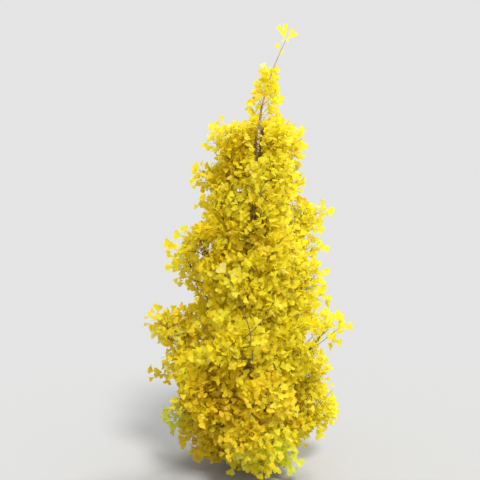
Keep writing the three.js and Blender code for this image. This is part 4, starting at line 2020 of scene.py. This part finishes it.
@dataclass
class HollowFiller:
    """Twigs in the hollows, where the leaves reach less far than round about."""

    growth: Growth
    columns: int = 24
    rows: int = 26
    step: float = 0.080
    percentile: float = 90.0
    passes: int = 6
    depth: float = 0.015
    spacing: float = 0.045
    sector: float = 0.80
    shortest: float = 0.03
    longest: float = 0.240
    steepness: float = 0.35
    droop_cost: float = 0.5
    first: float = 0.3

    def reach_tables(self) -> tuple[Array, Array]:
        """How far the leaves reach from the trunk's line, by height and azimuth.

        Returns:
            The reach as grown, and the same smoothed, with one row for each step of height.
        """
        points = self.growth.kept.joined()[0]
        across, back = TRUNK.away(points).T
        reach = np.hypot(across, back)
        row = (points[:, 2] / self.step).astype(int)
        column = (np.arctan2(back, across) / (2 * np.pi) % 1 * self.columns).astype(int)
        grown = np.zeros((self.rows, self.columns))
        for r, c in np.ndindex(*grown.shape):
            here = reach[(row == r) & (column == c)]
            grown[r, c] = np.percentile(here, self.percentile) if len(here) else 0.0
        smooth = grown
        for _ in range(self.passes):
            tall = np.pad(smooth, ((1, 1), (0, 0)), mode="edge")
            smooth = (tall[:-2] + 2 * smooth + tall[2:]) / 4
            smooth = (np.roll(smooth, 1, axis=1) + 2 * smooth + np.roll(smooth, -1, axis=1)) / 4
        return grown, smooth

    def grow(self) -> None:
        """Grows the twigs, each from the limb that lies nearest below."""
        growth = self.growth
        growth.restart(-2)
        grown, smooth = self.reach_tables()
        roots = growth.crown.root_points()
        for r, c in np.argwhere(smooth - grown > self.depth):
            if abs(math.cos(2 * np.pi * (c + 0.5) / self.columns)) > self.sector:
                continue
            for _ in range(int((smooth - grown)[r, c] / self.spacing) + 1):
                across, up, out = growth.random.uniform(0, 1, 3)
                aim = TRUNK.point((r + up) * self.step)
                outward = level(2 * np.pi * (c + across) / self.columns)
                aim += lerp(grown[r, c], smooth[r, c], out) * outward
                runs = aim - roots
                lengths = np.linalg.norm(runs, axis=1)
                droops = np.maximum(0, self.steepness * lengths - runs[:, 2])
                best = int(np.argmin(lengths + self.droop_cost * droops))
                if self.shortest < lengths[best] < self.longest:
                    growth.forked_twig(roots[best], aim, growth.fine_radii, self.first)
        growth.close_rows(None)


@dataclass
class BareShootDresser:
    """The thin shoots that show ahead of the leaves."""

    growth: Growth
    radii: Pair = (0.0030, 0.0016)
    rings: int = 14
    sides: int = 5
    near: float = 0.030
    percentile: float = 3.0
    outset: float = 0.7

    def place(self, leaves: Array, spot: Pair, ahead: float) -> Array:
        """Where a place that is seen from the front lies, a little ahead of the leaves there.

        Args:
            leaves: The leaves' middles, one to a row.
            spot: The place in the trunk's own plane.
            ahead: How far it lies ahead of the leaves.

        Returns:
            The point.
        """
        across, above = seen_from_front(leaves)
        near = np.hypot(across - spot[0], above - spot[1]) < self.near
        front = float(np.percentile(leaves[near, 1], self.percentile))
        return behind_sight(*spot, front - ahead)

    def grow(self) -> None:
        """Grows every one of them, from the nearest limb."""
        starts, bases = self.growth.kept.joined()[:2]
        leaves = starts + (bases - starts) * 2
        roots = self.growth.crown.root_points()
        shares = np.linspace(0, 1, self.rings)
        for shoot in BARE_SHOOTS:
            start = self.place(leaves, shoot.start, shoot.ahead * self.outset)
            end = self.place(leaves, shoot.end, shoot.ahead)
            root = roots[int(np.argmin(np.linalg.norm(roots - start, axis=1)))]
            course = Course.bend(root, 2 * start - (root + end) / 2, end)
            self.growth.twigs.tube(course.spaced(shares), lerp(*self.radii, shares), self.sides)
            self.growth.set_leaves(course, shoot.leaves)
        self.growth.close_rows(None)


@dataclass
class Foliage:
    """All stems, twigs, spurs and leaves, as one piece of each kind or a few of each tint."""

    crown: Crown
    petiole_radius: float = 0.00065
    petiole_sides: int = 3
    petiole_tilt: float = 0.013
    leaves_a_piece: int = 8000

    def petioles(self, starts: Array, bases: Array) -> tuple[Array, Array]:
        """The petioles' corners and triangles.

        Args:
            starts: Where they start.
            bases: Where they meet their blades.

        Returns:
            The corners, one to a row, and the triangles.
        """
        sides = self.petiole_sides
        ahead = unit(bases - starts)
        side = unit(np.cross(ahead, UP + self.petiole_tilt))
        other = np.cross(ahead, side)
        turns = [2 * np.pi * k / sides for k in range(sides)]
        spokes = [math.cos(turn) * side + math.sin(turn) * other for turn in turns]
        rings = [end + self.petiole_radius * spoke for end in (starts, bases) for spoke in spokes]
        corners = np.stack(rings, axis=1).reshape(-1, 3)
        faces = ring_faces(2, sides)[None] + np.arange(len(starts))[:, None, None] * 2 * sides
        return corners, faces.reshape(-1, 3)

    def leaf_parts(self, columns: tuple[Array, ...]) -> MeshParts:
        """Builds blades and petioles.

        Args:
            columns: The leaves' arrays.

        Returns:
            The joined parts.
        """
        starts, bases, alongs, normals, blades, kinds, _ = columns
        parts = MeshParts()
        for kind, blade in BLADES.items():
            chosen = kinds == kind
            many = int(chosen.sum())
            if not many:
                continue
            shape, fan = blade.corners()
            along, normal = alongs[chosen], normals[chosen]
            axes = np.stack([along, np.cross(normal, along), normal], axis=1)
            axes = axes * blades[chosen][:, None, None]
            corners = bases[chosen][:, None] + np.einsum("cj,njk->nck", shape, axes)
            faces = blade.faces()[None] + np.arange(many)[:, None, None] * len(shape)
            parts.add(corners.reshape(-1, 3), faces.reshape(-1, 3), np.tile(fan, (many, 1)))
        corners, faces = self.petioles(starts, bases)
        parts.add(corners, faces, np.full((len(corners), 2), 0.5))
        return parts

    def grow(self) -> Growth:
        """Grows every mass, and then what fills the crown between and before them.

        Returns:
            Everything that has grown.
        """
        growth = Growth(self.crown)
        masses = MassDresser(growth)
        for index in range(len(self.crown.masses)):
            masses.grow(index)
        for dresser in (LimbDresser(growth), HollowFiller(growth), BareShootDresser(growth)):
            dresser.grow()
        return growth

    def build(self) -> None:
        """Makes the twigs and each tint's leaves as pieces."""
        growth = self.grow()
        growth.leader.build("leader_stem", LEADER_BARK.material(), "bark")
        bark = TWIG_BARK.material()
        nodes = [f"foliage_{mass.label}" for mass in self.crown.masses]
        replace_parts(growth.stems.build("stems", bark, "bark"), *nodes)
        growth.twigs.build("twigs", bark, "bark")
        growth.spurs.build("spurs", bark, "bark")
        columns = growth.kept.joined()
        log.info("%d leaves", len(columns[0]))
        for finish in LEAF_FINISHES:
            chosen = np.nonzero(columns[-1] == TINTS.index(finish.tint))[0]
            shares = np.array_split(chosen, 1 + len(chosen) // self.leaves_a_piece)
            material = finish.material()
            for number, share in enumerate(shares, start=1):
                name = f"leaves_{finish.tint.value}" + (f"_{number}" if len(shares) > 1 else "")
                parts = self.leaf_parts(tuple(column[share] for column in columns))
                parts.build(name, material, finish.slot)


@dataclass(frozen=True)
class Lamp:
    """One far, soft light: its source, its strength, and the angle that it fills in degrees."""

    name: str
    source: Vector3
    strength: float
    softness: float
    tone: Vector3 = (1.0, 0.98, 0.93)

    def on_floor(self) -> Array:
        """How much light of each colour falls on a level floor."""
        return self.strength * unit(np.array(self.source))[2] * np.array(self.tone)

    def hang(self) -> None:
        """Puts the light into the scene."""
        data = bpy.data.lights.new(self.name, "SUN")
        data.energy = self.strength
        data.angle = math.radians(self.softness)
        data.color = self.tone
        lamp = bpy.data.objects.new(self.name, data)
        lamp.rotation_mode = "QUATERNION"
        lamp.rotation_quaternion = Vector(self.source).to_track_quat("Z", "Y")
        bpy.context.scene.collection.objects.link(lamp)


@dataclass
class Studio:
    """The pale floor, the soft lights and the camera at the photograph's viewing angle."""

    floor_radius: float = 60.0
    floor_corners: int = 128
    floor_roughness: float = 0.9
    sky_tone: float = 0.78
    look_down: float = 3.2
    focal_pixels: float = 625.0
    frame_pixels: float = 480.0
    sensor_mm: float = 36.0
    sight: float = 200.0
    lamps: tuple[Lamp, ...] = (
        Lamp("key", KEY_LIGHT, 3.4, 16.0),
        Lamp("behind", (0.50, 0.75, 0.80), 2.5, 20.0),
    )

    def floor_tone(self) -> Array:
        """The floor's colour, which looks the same as the sky under these lights."""
        light = sum(lamp.on_floor() for lamp in self.lamps)
        return self.sky_tone / (self.sky_tone + light / math.pi)

    def floor(self) -> None:
        """Lays a round pale floor."""
        bpy.ops.mesh.primitive_circle_add(
            vertices=self.floor_corners, radius=self.floor_radius, fill_type="NGON"
        )
        floor = bpy.context.object
        floor.name = "floor"
        paint = NodeMaterial("floor_paint")
        tone, rough = ("Base Color", (*self.floor_tone(), 1.0)), ("Roughness", self.floor_roughness)
        skin = paint.add("ShaderNodeBsdfPrincipled", tone, rough, ("Specular IOR Level", 0.0))
        floor.data.materials.append(paint.finished(skin.outputs["BSDF"]))

    def sky(self) -> None:
        """Fills the world with one even tone."""
        world = bpy.data.worlds.new("studio")
        world.use_nodes = True
        sky = world.node_tree.nodes["Background"]
        sky.inputs["Color"].default_value = (self.sky_tone, self.sky_tone, self.sky_tone, 1.0)
        sky.inputs["Strength"].default_value = 1.0
        bpy.context.scene.world = world

    def camera(self) -> None:
        """Sets the camera at the photograph's viewing angle."""
        data = bpy.data.cameras.new("camera")
        data.sensor_width = self.sensor_mm
        data.lens = self.sensor_mm * self.focal_pixels / self.frame_pixels
        data.clip_end = self.sight
        camera = bpy.data.objects.new("camera", data)
        camera.location = EYE
        camera.rotation_euler = (math.radians(90 - self.look_down), 0.0, 0.0)
        bpy.context.scene.collection.objects.link(camera)
        bpy.context.scene.camera = camera

    def build(self) -> None:
        """Sets up floor, lights, sky and camera."""
        self.floor()
        for lamp in self.lamps:
            lamp.hang()
        self.sky()
        bpy.context.scene.view_settings.view_transform = "Standard"
        self.camera()


def main() -> None:
    """Builds the dressed tree and its studio."""
    logging.basicConfig(level=logging.INFO, format="%(name)s: %(message)s")
    crown = Crown()
    BarkedLimbs(crown).build()
    Foliage(crown).build()
    Studio().build()


if __name__ == "__main__":
    main()
